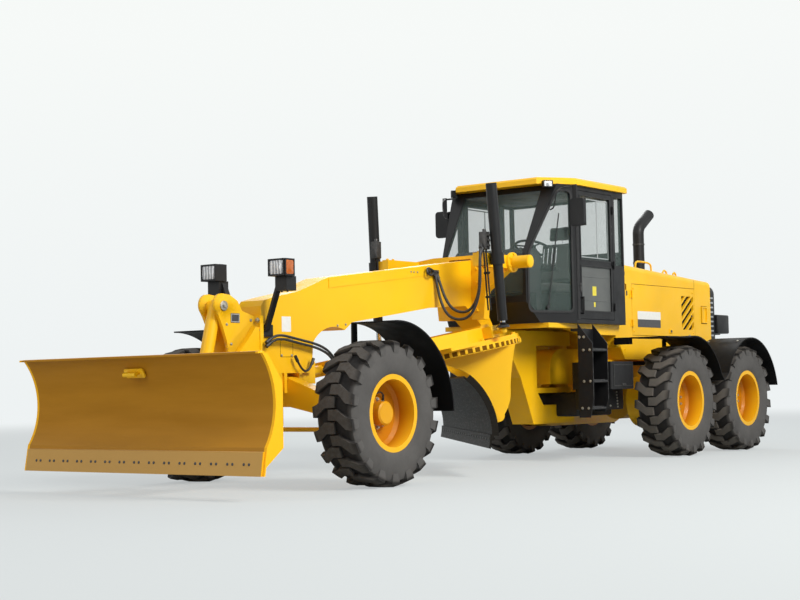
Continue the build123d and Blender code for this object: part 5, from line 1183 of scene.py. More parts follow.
print("lamp centre height", round(lamp_z, 3))

# %% [markdown]
# ## The beam's flank
# The beam is a welded box: a cover plate stands a few millimetres proud along its top edge, and small
# covers and clamps are bolted on. A blank white label and the seam of an inspection cover sit on the
# left cheek of the nose. A seam is a thin dark line, as a fitter sees the gap round a closed cover.

# %% Plates, seams and bolts of the beam
BEAM_X = high("front_frame", X)
label_bm = bmesh.new()
add_plate(label_bm, *side_wall(1, BEAM_X, -0.088, 1.491), (0.128, 0.142, 0.0015), 0.006)
finished("nose_blank_label", label_bm, white_film, "front_chassis", 30)
seam_bm = bmesh.new()
add_outline(seam_bm, *side_wall(1, BEAM_X, -0.088, 1.272), (0.178, 0.176), 0.004, 0.001)
finished("nose_cover_seam", seam_bm, seam_shadow, "front_chassis", 30)

# top edge of the flank, behind the axle and height, and the depth of the proud band under it
BAND_LINE = ((0.537, 1.955), (0.85, 1.992), (1.60, 2.082), (2.30, 2.166))
BAND_DEEP, BAND_PROUD = 0.102, 0.006
CLAMP_BOLTS = ((0.661, 1.492), (0.784, 1.505), (-0.16, 1.345), (-0.02, 1.345), (-0.16, 1.20), (-0.02, 1.20))
for side, sign in SIDES:
    band_bm = bmesh.new()
    upper = [band_bm.verts.new(at(sign * BEAM_X, b, z - 0.004)) for b, z in BAND_LINE]
    lower = [band_bm.verts.new(at(sign * BEAM_X, b, z - BAND_DEEP)) for b, z in BAND_LINE]
    strips = [
        band_bm.faces.new((upper[i], upper[i + 1], lower[i + 1], lower[i])) for i in range(len(upper) - 1)
    ]
    extruded(band_bm, strips, (sign * BAND_PROUD, 0, 0))
    finished(f"beam_cover_band_{side}", band_bm, yellow_paint, "front_chassis", 30)
beam_bolt_bm = bmesh.new()
for side, sign in SIDES:
    for behind, z in CLAMP_BOLTS:
        add_bolt(beam_bolt_bm, *side_spot(sign, BEAM_X, behind, z), 0.018, 0.007)
    for behind in (1.86, 1.91, 1.97):
        add_bolt(beam_bolt_bm, *side_spot(sign, BEAM_X + BAND_PROUD, behind, 2.07), 0.016, 0.006)
finished("beam_bolts", beam_bolt_bm, zinc, "front_chassis", 30)
print("beam flank at x", round(BEAM_X, 4))

# %% [markdown]
# ## Blade lift cylinders
# Each cylinder carries a lock valve high on its barrel, so that the blade can't sink if a hose bursts.
# Hard tubes run down the barrel from the valve, held by clips, and a flexible hose crosses from
# the beam.

# %% Lock valves, clips and rings
for side, sign in SIDES:
    barrel = f"lift_barrel_{side}"
    valve_bm = bmesh.new()
    valve_at = at(sign * 0.715, 2.425, 2.385)
    add_plate(valve_bm, valve_at, (0, -1, 0), (0, 0, 1), (0.085, 0.185, 0.075), 0.006, 0.004)
    for z in (-0.055, 0.0, 0.055):
        port = valve_at + Vector((sign * 0.0425, -0.035, z))
        add_round(valve_bm, port, (sign, 0, 0), 0.017, 0.022, 12, 0.003)
    add_round(valve_bm, valve_at + Vector((0, -0.035, 0.0925)), (0, 0, 1), 0.020, 0.030, 12, 0.004)
    finished(f"lock_valve_{side}", valve_bm, black_steel, barrel, 35)
    pipe_bm = bmesh.new()
    foot = at(sign * 0.740, 2.455, 1.66)
    for offset in (-0.016, 0.016):
        below_valve = valve_at + Vector((offset, -0.03, -0.09))
        add_tube(pipe_bm, below_valve, foot + Vector((offset, -0.035, 0)), 0.009, 10)
    for z in (2.05, 1.80):
        share = (z - foot.z) / (valve_at.z - foot.z)
        clip_at = foot.lerp(valve_at, share) + Vector((0, -0.02, 0))
        add_plate(pipe_bm, clip_at, (0, -1, 0), (0, 0, 1), (0.062, 0.024, 0.028), 0.004, 0.003)
    finished(f"barrel_pipes_{side}", pipe_bm, black_enamel, barrel, 35)

hose_bm = bmesh.new()
add_hose(
    hose_bm,
    [
        at(0.165, 2.262, 2.060),
        at(0.185, 2.268, 1.960),
        at(0.215, 2.280, 1.780),
        at(0.300, 2.280, 1.620),
        at(0.430, 2.300, 1.565),
        at(0.560, 2.330, 1.600),
        at(0.655, 2.335, 1.760),
        at(0.705, 2.315, 1.960),
        at(0.715, 2.300, 2.170),
        at(0.705, 2.330, 2.300),
        at(0.690, 2.362, 2.345),
    ],
    0.015,
)
add_hose(
    hose_bm,
    [
        at(0.165, 2.290, 2.060),
        at(0.200, 2.296, 1.985),
        at(0.250, 2.300, 1.830),
        at(0.340, 2.305, 1.690),
        at(0.460, 2.330, 1.640),
        at(0.570, 2.350, 1.680),
        at(0.660, 2.350, 1.830),
        at(0.690, 2.330, 2.050),
        at(0.700, 2.325, 2.250),
        at(0.712, 2.350, 2.300),
    ],
    0.015,
)
finished("lift_hoses", hose_bm, hose_rubber, "front_chassis", 60)
clamp_bm = bmesh.new()
add_plate(clamp_bm, *side_wall(1, 0.151, 2.262, 2.075), (0.095, 0.062, 0.034), 0.006, 0.004)
add_plate(clamp_bm, *side_wall(1, 0.151, 2.150, 2.080), (0.045, 0.050, 0.028), 0.006, 0.004)
for behind in (2.235, 2.290, 2.150):
    add_bolt(clamp_bm, at(0.184, behind, 2.080), (1, 0, 0), 0.016, 0.008)
loop = [
    at(0.170, 2.225, 2.075),
    at(0.20, 2.16, 2.04),
    at(0.20, 2.085, 2.055),
    at(0.19, 2.085, 2.11),
    at(0.175, 2.15, 2.125),
    at(0.165, 2.225, 2.10),
]
add_hose(clamp_bm, loop, 0.011, False)
finished("beam_hose_clamp", clamp_bm, black_steel, "front_chassis", 40)
print("lock valves and hoses fitted")

# %% [markdown]
# ## The lift saddle
# The saddle's yoke is a heavy casting bolted round the end of the beam. Its bolts stand in two rows beside
# the beam, each arm ends in a bearing cap with four bolts over the cylinder's trunnion, and the
# lock cylinder that stands out on the left is held by a flange.

# %% Saddle bolts, caps and flange
SADDLE_FACE = 2.960
saddle_bm = bmesh.new()
for side, sign in SIDES:
    for z in (1.70, 1.85, 2.00, 2.15):
        add_bolt(saddle_bm, at(sign * 0.215, SADDLE_FACE, z), (0, -1, 0), 0.036, 0.016)
    for z, up in ((2.13, -1), (2.27, 1)):
        for behind in (2.44, 2.54):
            add_bolt(saddle_bm, at(sign * 0.600, behind, z), (0, 0, up), 0.030, 0.014)
finished("saddle_bolts", saddle_bm, yellow_paint, "front_chassis", 30)
flange_bm = bmesh.new()
LOCK_AFT, LOCK_Z = 3.010, 2.195
LOCK_BOLT_CIRCLE = 0.086
add_round(flange_bm, at(0.640, LOCK_AFT, LOCK_Z), (1, 0, 0), 0.108, 0.030, 32, 0.004)
for turn in range(6):
    angle = math.radians(30 + 60 * turn)
    aft = LOCK_AFT + LOCK_BOLT_CIRCLE * math.cos(angle)
    add_bolt(flange_bm, at(0.670, aft, LOCK_Z + LOCK_BOLT_CIRCLE * math.sin(angle)), (1, 0, 0), 0.026, 0.012)
add_round(flange_bm, at(0.880, LOCK_AFT, LOCK_Z), (1, 0, 0), 0.060, 0.006, 28, 0.003)
finished("lock_cylinder_flange", flange_bm, yellow_paint, "front_chassis", 30)
print("saddle dressed")

# %% [markdown]
# ## The circle
# The blade turns on a toothed ring that the drawbar carries. From outside, the ring shows a row of
# evenly spaced shoes under its rim, with a dark band of painted shadow round its wall, and clamp bolts stand along
# the drawbar's plate above it.
# The ring lies tilted with the blade, so its axis is taken from the frame's own joint.

# %% Ring shoes and clamp bolts
circle_joint = next(j for j in frame["joints"] if j["child"] == "circle")
RING_CENTRE = Vector(circle_joint["pos_m"])
RING_UP = Vector(circle_joint["axis"]).normalized()
RING_RADIUS = 0.785
RING_THICK = 0.070
SHOES = 60
ring_side = RING_UP.cross(Vector((0, 1, 0))).normalized()
ring_fore = RING_UP.cross(ring_side)
shoe_bm = bmesh.new()
for step in range(SHOES):
    angle = 2 * math.pi * step / SHOES
    out = ring_side * math.cos(angle) + ring_fore * math.sin(angle)
    foot = RING_CENTRE + out * (RING_RADIUS - 0.002) - RING_UP * (RING_THICK * 0.55)
    add_plate(shoe_bm, foot, out, RING_UP, (0.030, 0.046, 0.011), 0.0, 0.003)
finished("circle_shoes", shoe_bm, yellow_paint, "circle", 35)
# A dark band of painted shadow round the ring's outer wall, below its top edge.
shade_bm = bmesh.new()
ring_profile = [(RING_RADIUS + 0.0006, -RING_THICK * share) for share in (0.22, 0.92)]
add_turned(shade_bm, ring_profile, RING_CENTRE, RING_UP, 96)
finished("circle_groove", shade_bm, seam_shadow, "circle", 60)

clamp_bolt_bm = bmesh.new()
for half, along in ((0.66, -0.30), (0.66, 0.28), (0.45, 0.62)):
    for across in (-half, half):
        base = RING_CENTRE + Vector((across, along, 0))
        height = -(base - RING_CENTRE).dot(RING_UP) / RING_UP.z
        on_plate = base + Vector((0, 0, height)) + RING_UP * 0.036
        add_bolt(clamp_bolt_bm, on_plate, RING_UP, 0.038, 0.018)
finished("drawbar_clamp_bolts", clamp_bolt_bm, yellow_paint, "drawbar", 30)
print("ring tilted by", round(math.degrees(math.acos(RING_UP.z)), 1), "degrees")

# %% [markdown]
# ## Wheel nuts, hub covers and valve hoses
# Ten nuts clamp each wheel's disc to its hub flange; the driven wheels have a flat bolted cover over the end
# of the planetary axle. A short rubber hose brings the tyre valve round where an air line can reach it.

# %% Nuts and valve hoses
DISC_IN = {"front": 0.200, "middle": 0.210, "rear": 0.210}  # from the flange's face
NUT_CIRCLE, COVER_CIRCLE, COVER_THICK = 0.127, 0.070, 0.014
# the valve hose: back and up from the hub's centre, out from the disc
VALVE_LINE = (
    (-0.082, 0.150, 0.004),
    (-0.070, 0.165, 0.030),
    (-0.030, 0.186, 0.042),
    (0.020, 0.188, 0.042),
    (0.062, 0.165, 0.030),
    (0.075, 0.120, 0.020),
)
for wheel, (side, sign) in ((wheel, pair) for wheel in DISC_IN for pair in SIDES):
    name = f"{wheel}_{side}"
    hub = middle(f"rim_{name}")
    face = sign * (high("rim_front_left", X) - DISC_IN[wheel] + 0.012)
    out = (sign, 0, 0)
    nut_bm = bmesh.new()
    for index in range(10):
        angle = math.radians(36 * index + 18)
        spot = (face, hub.y + NUT_CIRCLE * math.cos(angle), hub.z + NUT_CIRCLE * math.sin(angle))
        add_bolt(nut_bm, spot, out, 0.026, 0.016)
    finished(f"wheel_nuts_{name}", nut_bm, zinc, f"wheel_{name}", 30)
    if wheel != "front":
        cover_bm = bmesh.new()
        add_round(cover_bm, (face, hub.y, hub.z), out, 0.090, COVER_THICK, 32, 0.004)
        for index in range(6):
            angle = math.radians(60 * index)
            back, up = COVER_CIRCLE * math.cos(angle), COVER_CIRCLE * math.sin(angle)
            spot = (face + sign * COVER_THICK, hub.y + back, hub.z + up)
            add_bolt(cover_bm, spot, out, 0.016, 0.006, False)
        finished(f"hub_cover_{name}", cover_bm, rim_paint, f"wheel_{name}", 35)
    valve_bm = bmesh.new()
    points = [(face + sign * (out_by - 0.008), hub.y + y, hub.z + z) for y, z, out_by in VALVE_LINE]
    add_hose(valve_bm, points, 0.0075)
    finished(f"valve_hose_{name}", valve_bm, hose_rubber, f"wheel_{name}", 40)
print("wheels dressed")

# %% [markdown]
# ## The moldboard's hardware
# The cutting edge wears fast, so it is a separate bar held by one row of plough bolts near its upper
# side. Their positions follow the blade's own slanting frame: along its length, and round the
# centre of its curve. End bits and the slide rails' wear strips are left to the solid parts.

# %% Cutting-edge bolts
angle_of_blade = math.radians(47)
ALONG = Vector((math.cos(angle_of_blade), -math.sin(angle_of_blade), 0))
ACROSS = RING_UP.cross(ALONG).normalized()
CURVE_Y, CURVE_Z, INNER_RADIUS = -0.674, -0.714, 0.655
blade_bm = bmesh.new()
slope = math.radians(-16.0)
outward = ACROSS * math.cos(slope) + RING_UP * math.sin(slope)
EDGE_BOLTS = 22
FIRST_BOLT, LAST_BOLT = -1.68, 1.82  # along the blade, from the circle's axis
for index in range(EDGE_BOLTS):
    along = FIRST_BOLT + index * (LAST_BOLT - FIRST_BOLT) / (EDGE_BOLTS - 1)
    spot = RING_CENTRE + ALONG * along + ACROSS * CURVE_Y + RING_UP * CURVE_Z + outward * INNER_RADIUS
    add_round(blade_bm, spot, -outward, 0.014, 0.005, 14, 0.002)
    add_bolt(blade_bm, spot + outward * 0.038, outward, 0.024, 0.012, False)
finished("cutting_edge_bolts", blade_bm, black_steel, "blade", 30)
print("blade dressed")

# %% [markdown]
# ## Under the cab and round the nose
# A dark box with the batteries hangs below each side box, and a bolted guard protects the transmission.
# At the nose two hoses run back along the beam's side to the dozer's cylinder.

# %% Battery boxes, belly guard, nose hoses
for side, sign in SIDES:
    box_bm = bmesh.new()
    inner, outer = sorted((sign * 0.50, sign * 0.80))
    add_box(box_bm, (inner, FRONT_AXLE_Y + 4.50, 0.575), (outer, FRONT_AXLE_Y + 5.09, 0.812), 0.010, 2)
    finished(f"battery_box_{side}", box_bm, black_enamel, "rear_chassis", 35)
    link_bm = bmesh.new()
    for index in range(6):
        place = at(sign * 0.80, 4.93 + 0.004 * index, 0.775 - index * 0.034)
        add_plate(link_bm, place, (sign, 0, 0), (0, 0, 1), (0.026, 0.020, 0.006), 0.006, 0.002)
    for behind in (4.56, 4.78):
        add_bolt(link_bm, *side_spot(sign, 0.80, behind, 0.62), 0.020, 0.008)
    finished(f"battery_box_chain_{side}", link_bm, zinc, "rear_chassis", 35)
guard_bm = bmesh.new()
add_box(guard_bm, at(-0.44, 4.66, 0.50), at(0.44, 5.46, 0.78), 0.030, 3)
finished("belly_guard", guard_bm, black_enamel, "rear_chassis", 40)

nose_hose_bm = bmesh.new()
for drop in (0.0, 0.034):
    points = [
        at(0.216, -0.436, 1.318 - drop),
        at(0.222, -0.353, 1.372 - drop),
        at(0.222, -0.240, 1.385 - drop),
        at(0.212, -0.100, 1.366 - drop),
        at(0.205, 0.080, 1.338 - drop),
        at(0.205, 0.248, 1.312 - drop),
        at(0.200, 0.400, 1.270 - drop),
        at(0.195, 0.500, 1.215 - drop),
        at(0.190, 0.584, 1.140 - drop),
    ]
    add_hose(nose_hose_bm, points, 0.0125)
loop = [
    at(0.195, -0.02, 1.185),
    at(0.20, 0.03, 1.10),
    at(0.20, 0.10, 1.045),
    at(0.20, 0.18, 1.07),
    at(0.195, 0.23, 1.16),
]
add_hose(nose_hose_bm, loop, 0.011)
finished("nose_hoses", nose_hose_bm, hose_rubber, "front_chassis", 40)
print("nose hoses in place")

# %% [markdown]
# ## The cab's panes and posts
# Each pane is bonded into a black rubber seal with rounded corners. A seal starts as one flat face whose
# corners are rounded by a vertex bevel, is inset to a band, and is pulled off the wall. The front
# corner walls stand at an angle, so their plane is worked out from the cab's own corner points.

# %% Seals
CAB_X = 0.790
CAB_FRONT = low("cab_shell", Y)
CORNER_X = 0.560  # half the cab's width at the windshield
CORNER_RUN = 0.690  # how far back the slanted corner wall reaches
CAB_TOP_Z = high("cab_shell", Z)
wall_long = math.hypot(CAB_X - CORNER_X, CORNER_RUN)


def add_seal(bm, points, place, normal, up, radius, wide, tall):
    """A raised band with rounded corners along the inside of an outline drawn flat on a surface."""
    before = set(bm.verts)
    face = bm.faces.new([bm.verts.new((x, y, 0)) for x, y in points])
    bmesh.ops.bevel(
        bm, geom=list(face.verts), offset=radius, segments=5, profile=0.5, affect="VERTICES", material=-1
    )
    whole = next(f for f in bm.faces if len(f.verts) > 12 and all(v not in before for v in f.verts))
    raise_band(bm, whole, wide, tall)
    bmesh.ops.transform(bm, matrix=set_on(place, normal, up), verts=added_since(bm, before))


def wall_frame(sign):
    """Foot, outward normal and run of a slanted corner wall."""
    foot = Vector((sign * CORNER_X, CAB_FRONT, 0))
    run = Vector((sign * (CAB_X - CORNER_X), CORNER_RUN, 0)).normalized()
    normal = Vector((sign * run.y, -sign * run.x, 0))
    return foot, normal, run


KNEE_Z = 2.330
PANE_LOW, PANE_HIGH = 1.672, CAB_TOP_Z - 0.055
TOP_LEAN = 0.455 / (CAB_TOP_Z - KNEE_Z) * wall_long / CORNER_RUN
for side, sign in SIDES:
    foot, normal, run = wall_frame(sign)
    fore = 0.022
    rear = wall_long - 0.042
    pane = [
        (fore, PANE_LOW),
        (rear, PANE_LOW),
        (rear, PANE_HIGH),
        (fore + TOP_LEAN * (PANE_HIGH - KNEE_Z), PANE_HIGH),
        (fore, KNEE_Z),
    ]
    pane = [(sign * s, z) for s, z in pane]
    seal_bm = bmesh.new()
    add_seal(seal_bm, pane, foot - normal * 0.001, normal, (0, 0, 1), 0.075, 0.026, 0.010)
    finished(f"corner_pane_seal_{side}", seal_bm, seal_rubber, "rear_chassis", 40)
    # ribbed post between the corner pane and the door
    post_bm = bmesh.new()
    rib_x = sign * (CAB_X + 0.002)
    for y in (CAB_FRONT + behind for behind in (0.712, 0.729, 0.744)):
        add_tube(post_bm, (rib_x, y, 1.60), (rib_x, y, CAB_TOP_Z - 0.01), 0.0065, 10)
    finished(f"post_ribs_{side}", post_bm, seal_rubber, "rear_chassis", 40)
print("corner wall", round(wall_long, 3), "m long")

# %% [markdown]
# ## Doors
# The door's lower opening is closed by a painted sheet instead of glass, so a blank label can sit on it.
# Its upper pane slides in a pale aluminium channel. A lock barrel and a grip finish the latch side.

# %% Door sheets, channels and latches
door_grey = two_tone(
    "door_sheet_grey", (0.095, 0.10, 0.098), (0.12, 0.125, 0.12), 0.5, 3.0, starts=0.35, specular=0.3
)
channel_grey = new_material("aluminium_channel", (0.42, 0.44, 0.44), 0.35, metallic=0.6)
drawn = noise(channel_grey, 40.0, 2.0, 0.5, (1, 1, 6))
finish(channel_grey, None, span(channel_grey, drawn, 0.3, 0.7, 0.28, 0.42))
DOOR_FORE, DOOR_AFT = 4.221, 4.894
LOWER_PANE = (1.703, 2.215)
UPPER_PANE = (2.285, 3.014)
mid, wide = (DOOR_FORE + DOOR_AFT) / 2, DOOR_AFT - DOOR_FORE
low_mid, low_tall = sum(LOWER_PANE) / 2, LOWER_PANE[1] - LOWER_PANE[0]
up_mid, up_tall = sum(UPPER_PANE) / 2, UPPER_PANE[1] - UPPER_PANE[0]
SHEET_X, SHEET_THICK = 0.7725, 0.003
SEAL_LAP = 0.012  # how far the seal reaches past the opening
for side, sign in SIDES:
    door = f"cab_door_{side}"
    sheet_bm = bmesh.new()
    add_plate(sheet_bm, *side_wall(sign, SHEET_X, mid, low_mid), (wide, low_tall, SHEET_THICK))
    for z in (LOWER_PANE[0] + 0.12, LOWER_PANE[0] + 0.39):
        swage = (wide * 0.82, 0.010, 0.003)
        add_plate(sheet_bm, *side_wall(sign, SHEET_X + SHEET_THICK, mid, z), swage, 0.0, 0.001)
    finished(f"door_sheet_{side}", sheet_bm, door_grey, door, 35)
    channel_bm = bmesh.new()
    add_outline(
        channel_bm, *side_wall(sign, SHEET_X, mid, up_mid), (wide - 0.05, up_tall - 0.05), 0.012, 0.004
    )
    add_plate(channel_bm, *side_wall(sign, SHEET_X, mid + 0.06, up_mid), (0.014, up_tall - 0.06, 0.005))
    finished(f"door_pane_channel_{side}", channel_bm, channel_grey, door, 35)
    edge_bm = bmesh.new()
    for bottom, top in (LOWER_PANE, UPPER_PANE):
        aside, rise = wide / 2 + SEAL_LAP, (top - bottom) / 2 + SEAL_LAP
        outline = [(-aside, -rise), (aside, -rise), (aside, rise), (-aside, rise)]
        place = side_wall(sign, CAB_X - 0.001, mid, (top + bottom) / 2)
        add_seal(edge_bm, outline, *place, 0.022, 0.016, 0.006)
    finished(f"door_seals_{side}", edge_bm, seal_rubber, door, 40)
    latch_bm = bmesh.new()
    add_plate(latch_bm, *side_wall(sign, CAB_X, 4.196, 1.965), (0.034, 0.100, 0.008), 0.010, 0.003)
    add_round(latch_bm, *side_spot(sign, CAB_X + 0.008, 4.196, 1.985), 0.011, 0.007, 16, 0.002)
    for z in (2.62, 2.70):
        add_round(latch_bm, *side_spot(sign, CAB_X, 4.920, z), 0.012, 0.006, 14, 0.002)
    finished(f"door_latch_{side}", latch_bm, black_steel, door, 35)
note_bm = bmesh.new()
add_plate(note_bm, *side_wall(1, 0.7757, 4.526, 1.935), (0.085, 0.105, 0.0012), 0.004)
add_plate(note_bm, *side_wall(1, 0.7757, 4.526, 1.78), (0.035, 0.055, 0.0012), 0.003)
finished("door_blank_labels", note_bm, yellow_film, "cab_door_left", 30)
print("doors dressed")

# %% [markdown]
# ## Work lamps, mirrors and the wiper
# The work lamps' lenses face out from the roof's slanted corners. The mirrors' glass looks back, and a
# bent arm carries each one. The wiper's arm is a thin bar that slides in a thicker one, and its rubber
# blade is a flat strip.

# %% Lamps, mirrors, wiper
LAMP_RUN = Vector((0.190, 0.250, 0)).normalized()
for side, sign in SIDES:
    out = Vector((sign * LAMP_RUN.y, -LAMP_RUN.x, 0))
    lamp_at = at(sign * 0.622, 3.795, CAB_TOP_Z - 0.005) + out * 0.048
    bezel_bm = bmesh.new()
    add_outline(bezel_bm, lamp_at, out, (0, 0, 1), (0.110, 0.074), 0.008, 0.007)
    finished(f"work_lamp_bezel_{side}", bezel_bm, black_enamel, "rear_chassis", 35)
    lens_bm = bmesh.new()
    add_plate(lens_bm, lamp_at, out, (0, 0, 1), (0.094, 0.058, 0.005), 0.008, 0.002)
    finished(f"work_lamp_lens_{side}", lens_bm, clear_lens, "rear_chassis", 35)
    mirror_mid = Vector((sign * 0.925, high("mirrors", Y), CAB_TOP_Z - 0.330))
    glass_bm = bmesh.new()
    add_plate(glass_bm, mirror_mid, (0, 1, 0), (0, 0, 1), (0.150, 0.280, 0.002), 0.030)
    finished(f"mirror_glass_{side}", glass_bm, mirror_glass, "rear_chassis", 35)
    rail_bm = bmesh.new()
    add_outline(rail_bm, mirror_mid, (0, 1, 0), (0, 0, 1), (0.176, 0.306), 0.010, 0.005)
    post = [
        (0.690, 3.742, CAB_TOP_Z - 0.30),
        (0.735, 3.735, CAB_TOP_Z - 0.30),
        (0.760, 3.735, CAB_TOP_Z - 0.24),
        (0.775, 3.745, CAB_TOP_Z - 0.09),
        (0.830, 3.860, CAB_TOP_Z - 0.045),
        (0.862, 3.930, CAB_TOP_Z - 0.040),
    ]
    add_hose(rail_bm, [at(sign * x, b, z) for x, b, z in post], 0.008, False)
    finished(f"mirror_rail_{side}", rail_bm, black_enamel, "rear_chassis", 40)

wiper_bm = bmesh.new()
foot, normal, run = wall_frame(1)
pivot = foot + run * 0.30 + Vector((0, 0, 1.735)) + normal * 0.016
tip = foot + run * 0.485 + Vector((0, 0, 2.80)) + normal * 0.016
add_round(wiper_bm, pivot - normal * 0.016, normal, 0.022, 0.020, 16, 0.003)
add_tube(wiper_bm, pivot, pivot.lerp(tip, 0.55), 0.007, 8)
add_tube(wiper_bm, pivot.lerp(tip, 0.50), pivot.lerp(tip, 0.70), 0.005, 8)
blade_dir = (tip - pivot).normalized()
blade_mid = pivot.lerp(tip, 0.70) - normal * 0.006
add_plate(wiper_bm, blade_mid, normal, blade_dir, (0.012, 0.62, 0.007))
finished("side_wiper", wiper_bm, seal_rubber, "rear_chassis", 40)
front_wiper_bm = bmesh.new()
shield_y = CAB_FRONT + 0.016
add_round(front_wiper_bm, (0.10, shield_y - 0.012, 2.02), (0, -1, 0), 0.022, 0.018, 16, 0.003)
add_tube(front_wiper_bm, (0.10, shield_y - 0.012, 2.02), (-0.10, shield_y - 0.010, 2.30), 0.006, 8)
finished("front_wiper", front_wiper_bm, seal_rubber, "rear_chassis", 40)
print("lamps and mirrors ready")

# %% [markdown]
# ## The seat
# The seat's foam is a crowned cushion and a back with a separate head rest, all covered in woven cloth.
# Each pad starts as a slightly small rounded block, is remeshed to an even grid and is blown up a
# little by a cloth simulation under pressure, as foam fills its cover. How far a point may travel is
# capped.

# %% Seat pads
CLOTH_FRAMES = 20


def swollen(name, bm, cap):
    """Foam in a cloth cover: the block is remeshed, blown up under pressure and smoothed."""
    bmesh.ops.recalc_face_normals(bm, faces=bm.faces)
    obj = as_object(name, bm)
    mesh = obj.data
    even = obj.modifiers.new("even", "REMESH")
    even.mode = "VOXEL"
    even.voxel_size = 0.006
    bpy.context.view_layer.update()
    grid = bpy.data.meshes.new_from_object(obj.evaluated_get(bpy.context.evaluated_depsgraph_get()))
    obj.modifiers.clear()
    obj.data = grid
    bpy.data.meshes.remove(mesh)
    rest = [v.co.copy() for v in grid.vertices]
    cloth = obj.modifiers.new("foam", "CLOTH")
    cloth.settings.use_pressure = True
    cloth.settings.uniform_pressure_force = 4
    cloth.settings.effector_weights.gravity = 0
    cloth.point_cache.frame_start = 1
    cloth.point_cache.frame_end = CLOTH_FRAMES
    for step in range(1, CLOTH_FRAMES + 1):
        scene.frame_set(step)
    blown = bpy.data.meshes.new_from_object(obj.evaluated_get(bpy.context.evaluated_depsgraph_get()))
    for vertex, start in zip(blown.vertices, rest):
        move = vertex.co - start
        if move.length > cap:
            vertex.co = start + move.normalized() * cap
    obj.modifiers.clear()
    obj.data = blown
    bpy.data.meshes.remove(grid)
    scene.frame_set(1)
    soft_bm = bmesh.new()
    soft_bm.from_mesh(obj.data)
    for _ in range(3):
        bmesh.ops.smooth_vert(
            soft_bm, verts=soft_bm.verts, factor=0.5, use_axis_x=True, use_axis_y=True, use_axis_z=True
        )
    old = obj.data
    bpy.data.objects.remove(obj)
    bpy.data.meshes.remove(old)
    pad = finished(name, soft_bm, seat_cloth, "rear_chassis", 80)
    smoother = pad.modifiers.new("cover", "SUBSURF")
    smoother.levels = smoother.render_levels = 1
    return pad


seat_low, seat_high = Vector(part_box("seat_pads")[0]), Vector(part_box("seat_pads")[1])
CUSHION_TOP = 2.080
cushion_bm = bmesh.new()
add_box(
    cushion_bm,
    (seat_low.x + 0.012, seat_low.y + 0.012, seat_low.z + 0.006),
    (seat_high.x - 0.012, FRONT_AXLE_Y + 5.028, CUSHION_TOP - 0.014),
    0.045,
    5,
)
for v in cushion_bm.verts:
    if v.co.z > seat_low.z + 0.08:
        across = (v.co.x - (seat_low.x + seat_high.x) / 2) / 0.25
        v.co.z -= 0.012 * (1 - across * across)
cushion = swollen("seat_cushion", cushion_bm, 0.010)


def back_block(bottom, top, half):
    """A block of the leaning back between two heights, drawn in from its CAD outline."""
    bm = bmesh.new()
    for v in add_box(bm, (-half, 0.0, bottom), (half, 1.0, top)):
        share = (v.co.z - CUSHION_TOP) / 0.700
        fore = 4.910 + share * 0.130 + 0.012
        rear = 5.030 + share * 0.100 - 0.012
        v.co.y = FRONT_AXLE_Y + (rear if v.co.y > 0.5 else fore)
    round_edges(bm, bm.edges[:], 0.028, 5)
    return bm


backrest = swollen("seat_back", back_block(CUSHION_TOP + 0.016, CUSHION_TOP + 0.490, 0.225), 0.010)
headrest = swollen("seat_head_rest", back_block(CUSHION_TOP + 0.520, CUSHION_TOP + 0.688, 0.130), 0.008)
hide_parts("seat_pads")
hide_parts("seat_pads")
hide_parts("seat_pads")
stay_bm = bmesh.new()
for x in (-0.05, 0.05):
    add_tube(stay_bm, at(x, 5.045, CUSHION_TOP + 0.46), at(x, 5.055, CUSHION_TOP + 0.55), 0.006, 10)
finished("head_rest_stays", stay_bm, rod_chrome, "rear_chassis", 40)
print("seat pads:", cushion.name, backrest.name, headrest.name)

# %% [markdown]
# ## Levers and pedals
# Blade, circle and articulation are worked by rows of short levers on both sides of the steering
# column, each with a ball knob on a rubber boot. Two pedals stand on the floor in front of them.

# %% Levers and pedals
BOOT = ((0.024, 0), (0.020, 0.012), (0.022, 0.018), (0.014, 0.034), (0.007, 0.045))
LEVERS_A_SIDE = 4
lever_bm = bmesh.new()
knob_bm = bmesh.new()
boot_bm = bmesh.new()
for side, sign in SIDES:
    for index in range(LEVERS_A_SIDE):
        base = at(sign * (0.165 + 0.052 * index), 4.41 + 0.006 * index, 2.235)
        top = base + Vector((0, 0.045, 0.235))
        add_tube(lever_bm, base, top, 0.006, 10)
        add_round(knob_bm, top - Vector((0, 0, 0.004)), top - base, 0.019, 0.034, 14, 0.010)
        add_turned(boot_bm, BOOT, base, top - base, 14)
finished("lever_rods", lever_bm, rod_chrome, "rear_chassis", 40)
finished("lever_knobs", knob_bm, trim_plastic, "rear_chassis", 50)
finished("lever_boots", boot_bm, seal_rubber, "rear_chassis", 40)
tray_bm = bmesh.new()
for side, sign in SIDES:
    add_box(tray_bm, at(sign * 0.130, 4.385, 2.190), at(sign * 0.355, 4.465, 2.236), 0.008)
finished("lever_trays", tray_bm, trim_plastic, "rear_chassis", 40)
pedal_bm = bmesh.new()
for side, sign in SIDES:
    pad_at = at(sign * 0.235, 4.215, 1.665)
    add_plate(pedal_bm, pad_at, (0, 0.75, 0.66), (0, -0.66, 0.75), (0.085, 0.190, 0.012), 0.012, 0.003)
    add_tube(pedal_bm, at(sign * 0.235, 4.175, 1.606), at(sign * 0.235, 4.205, 1.672), 0.010, 10)
finished("pedals", pedal_bm, seal_rubber, "rear_chassis", 40)
print("levers:", 2 * LEVERS_A_SIDE)
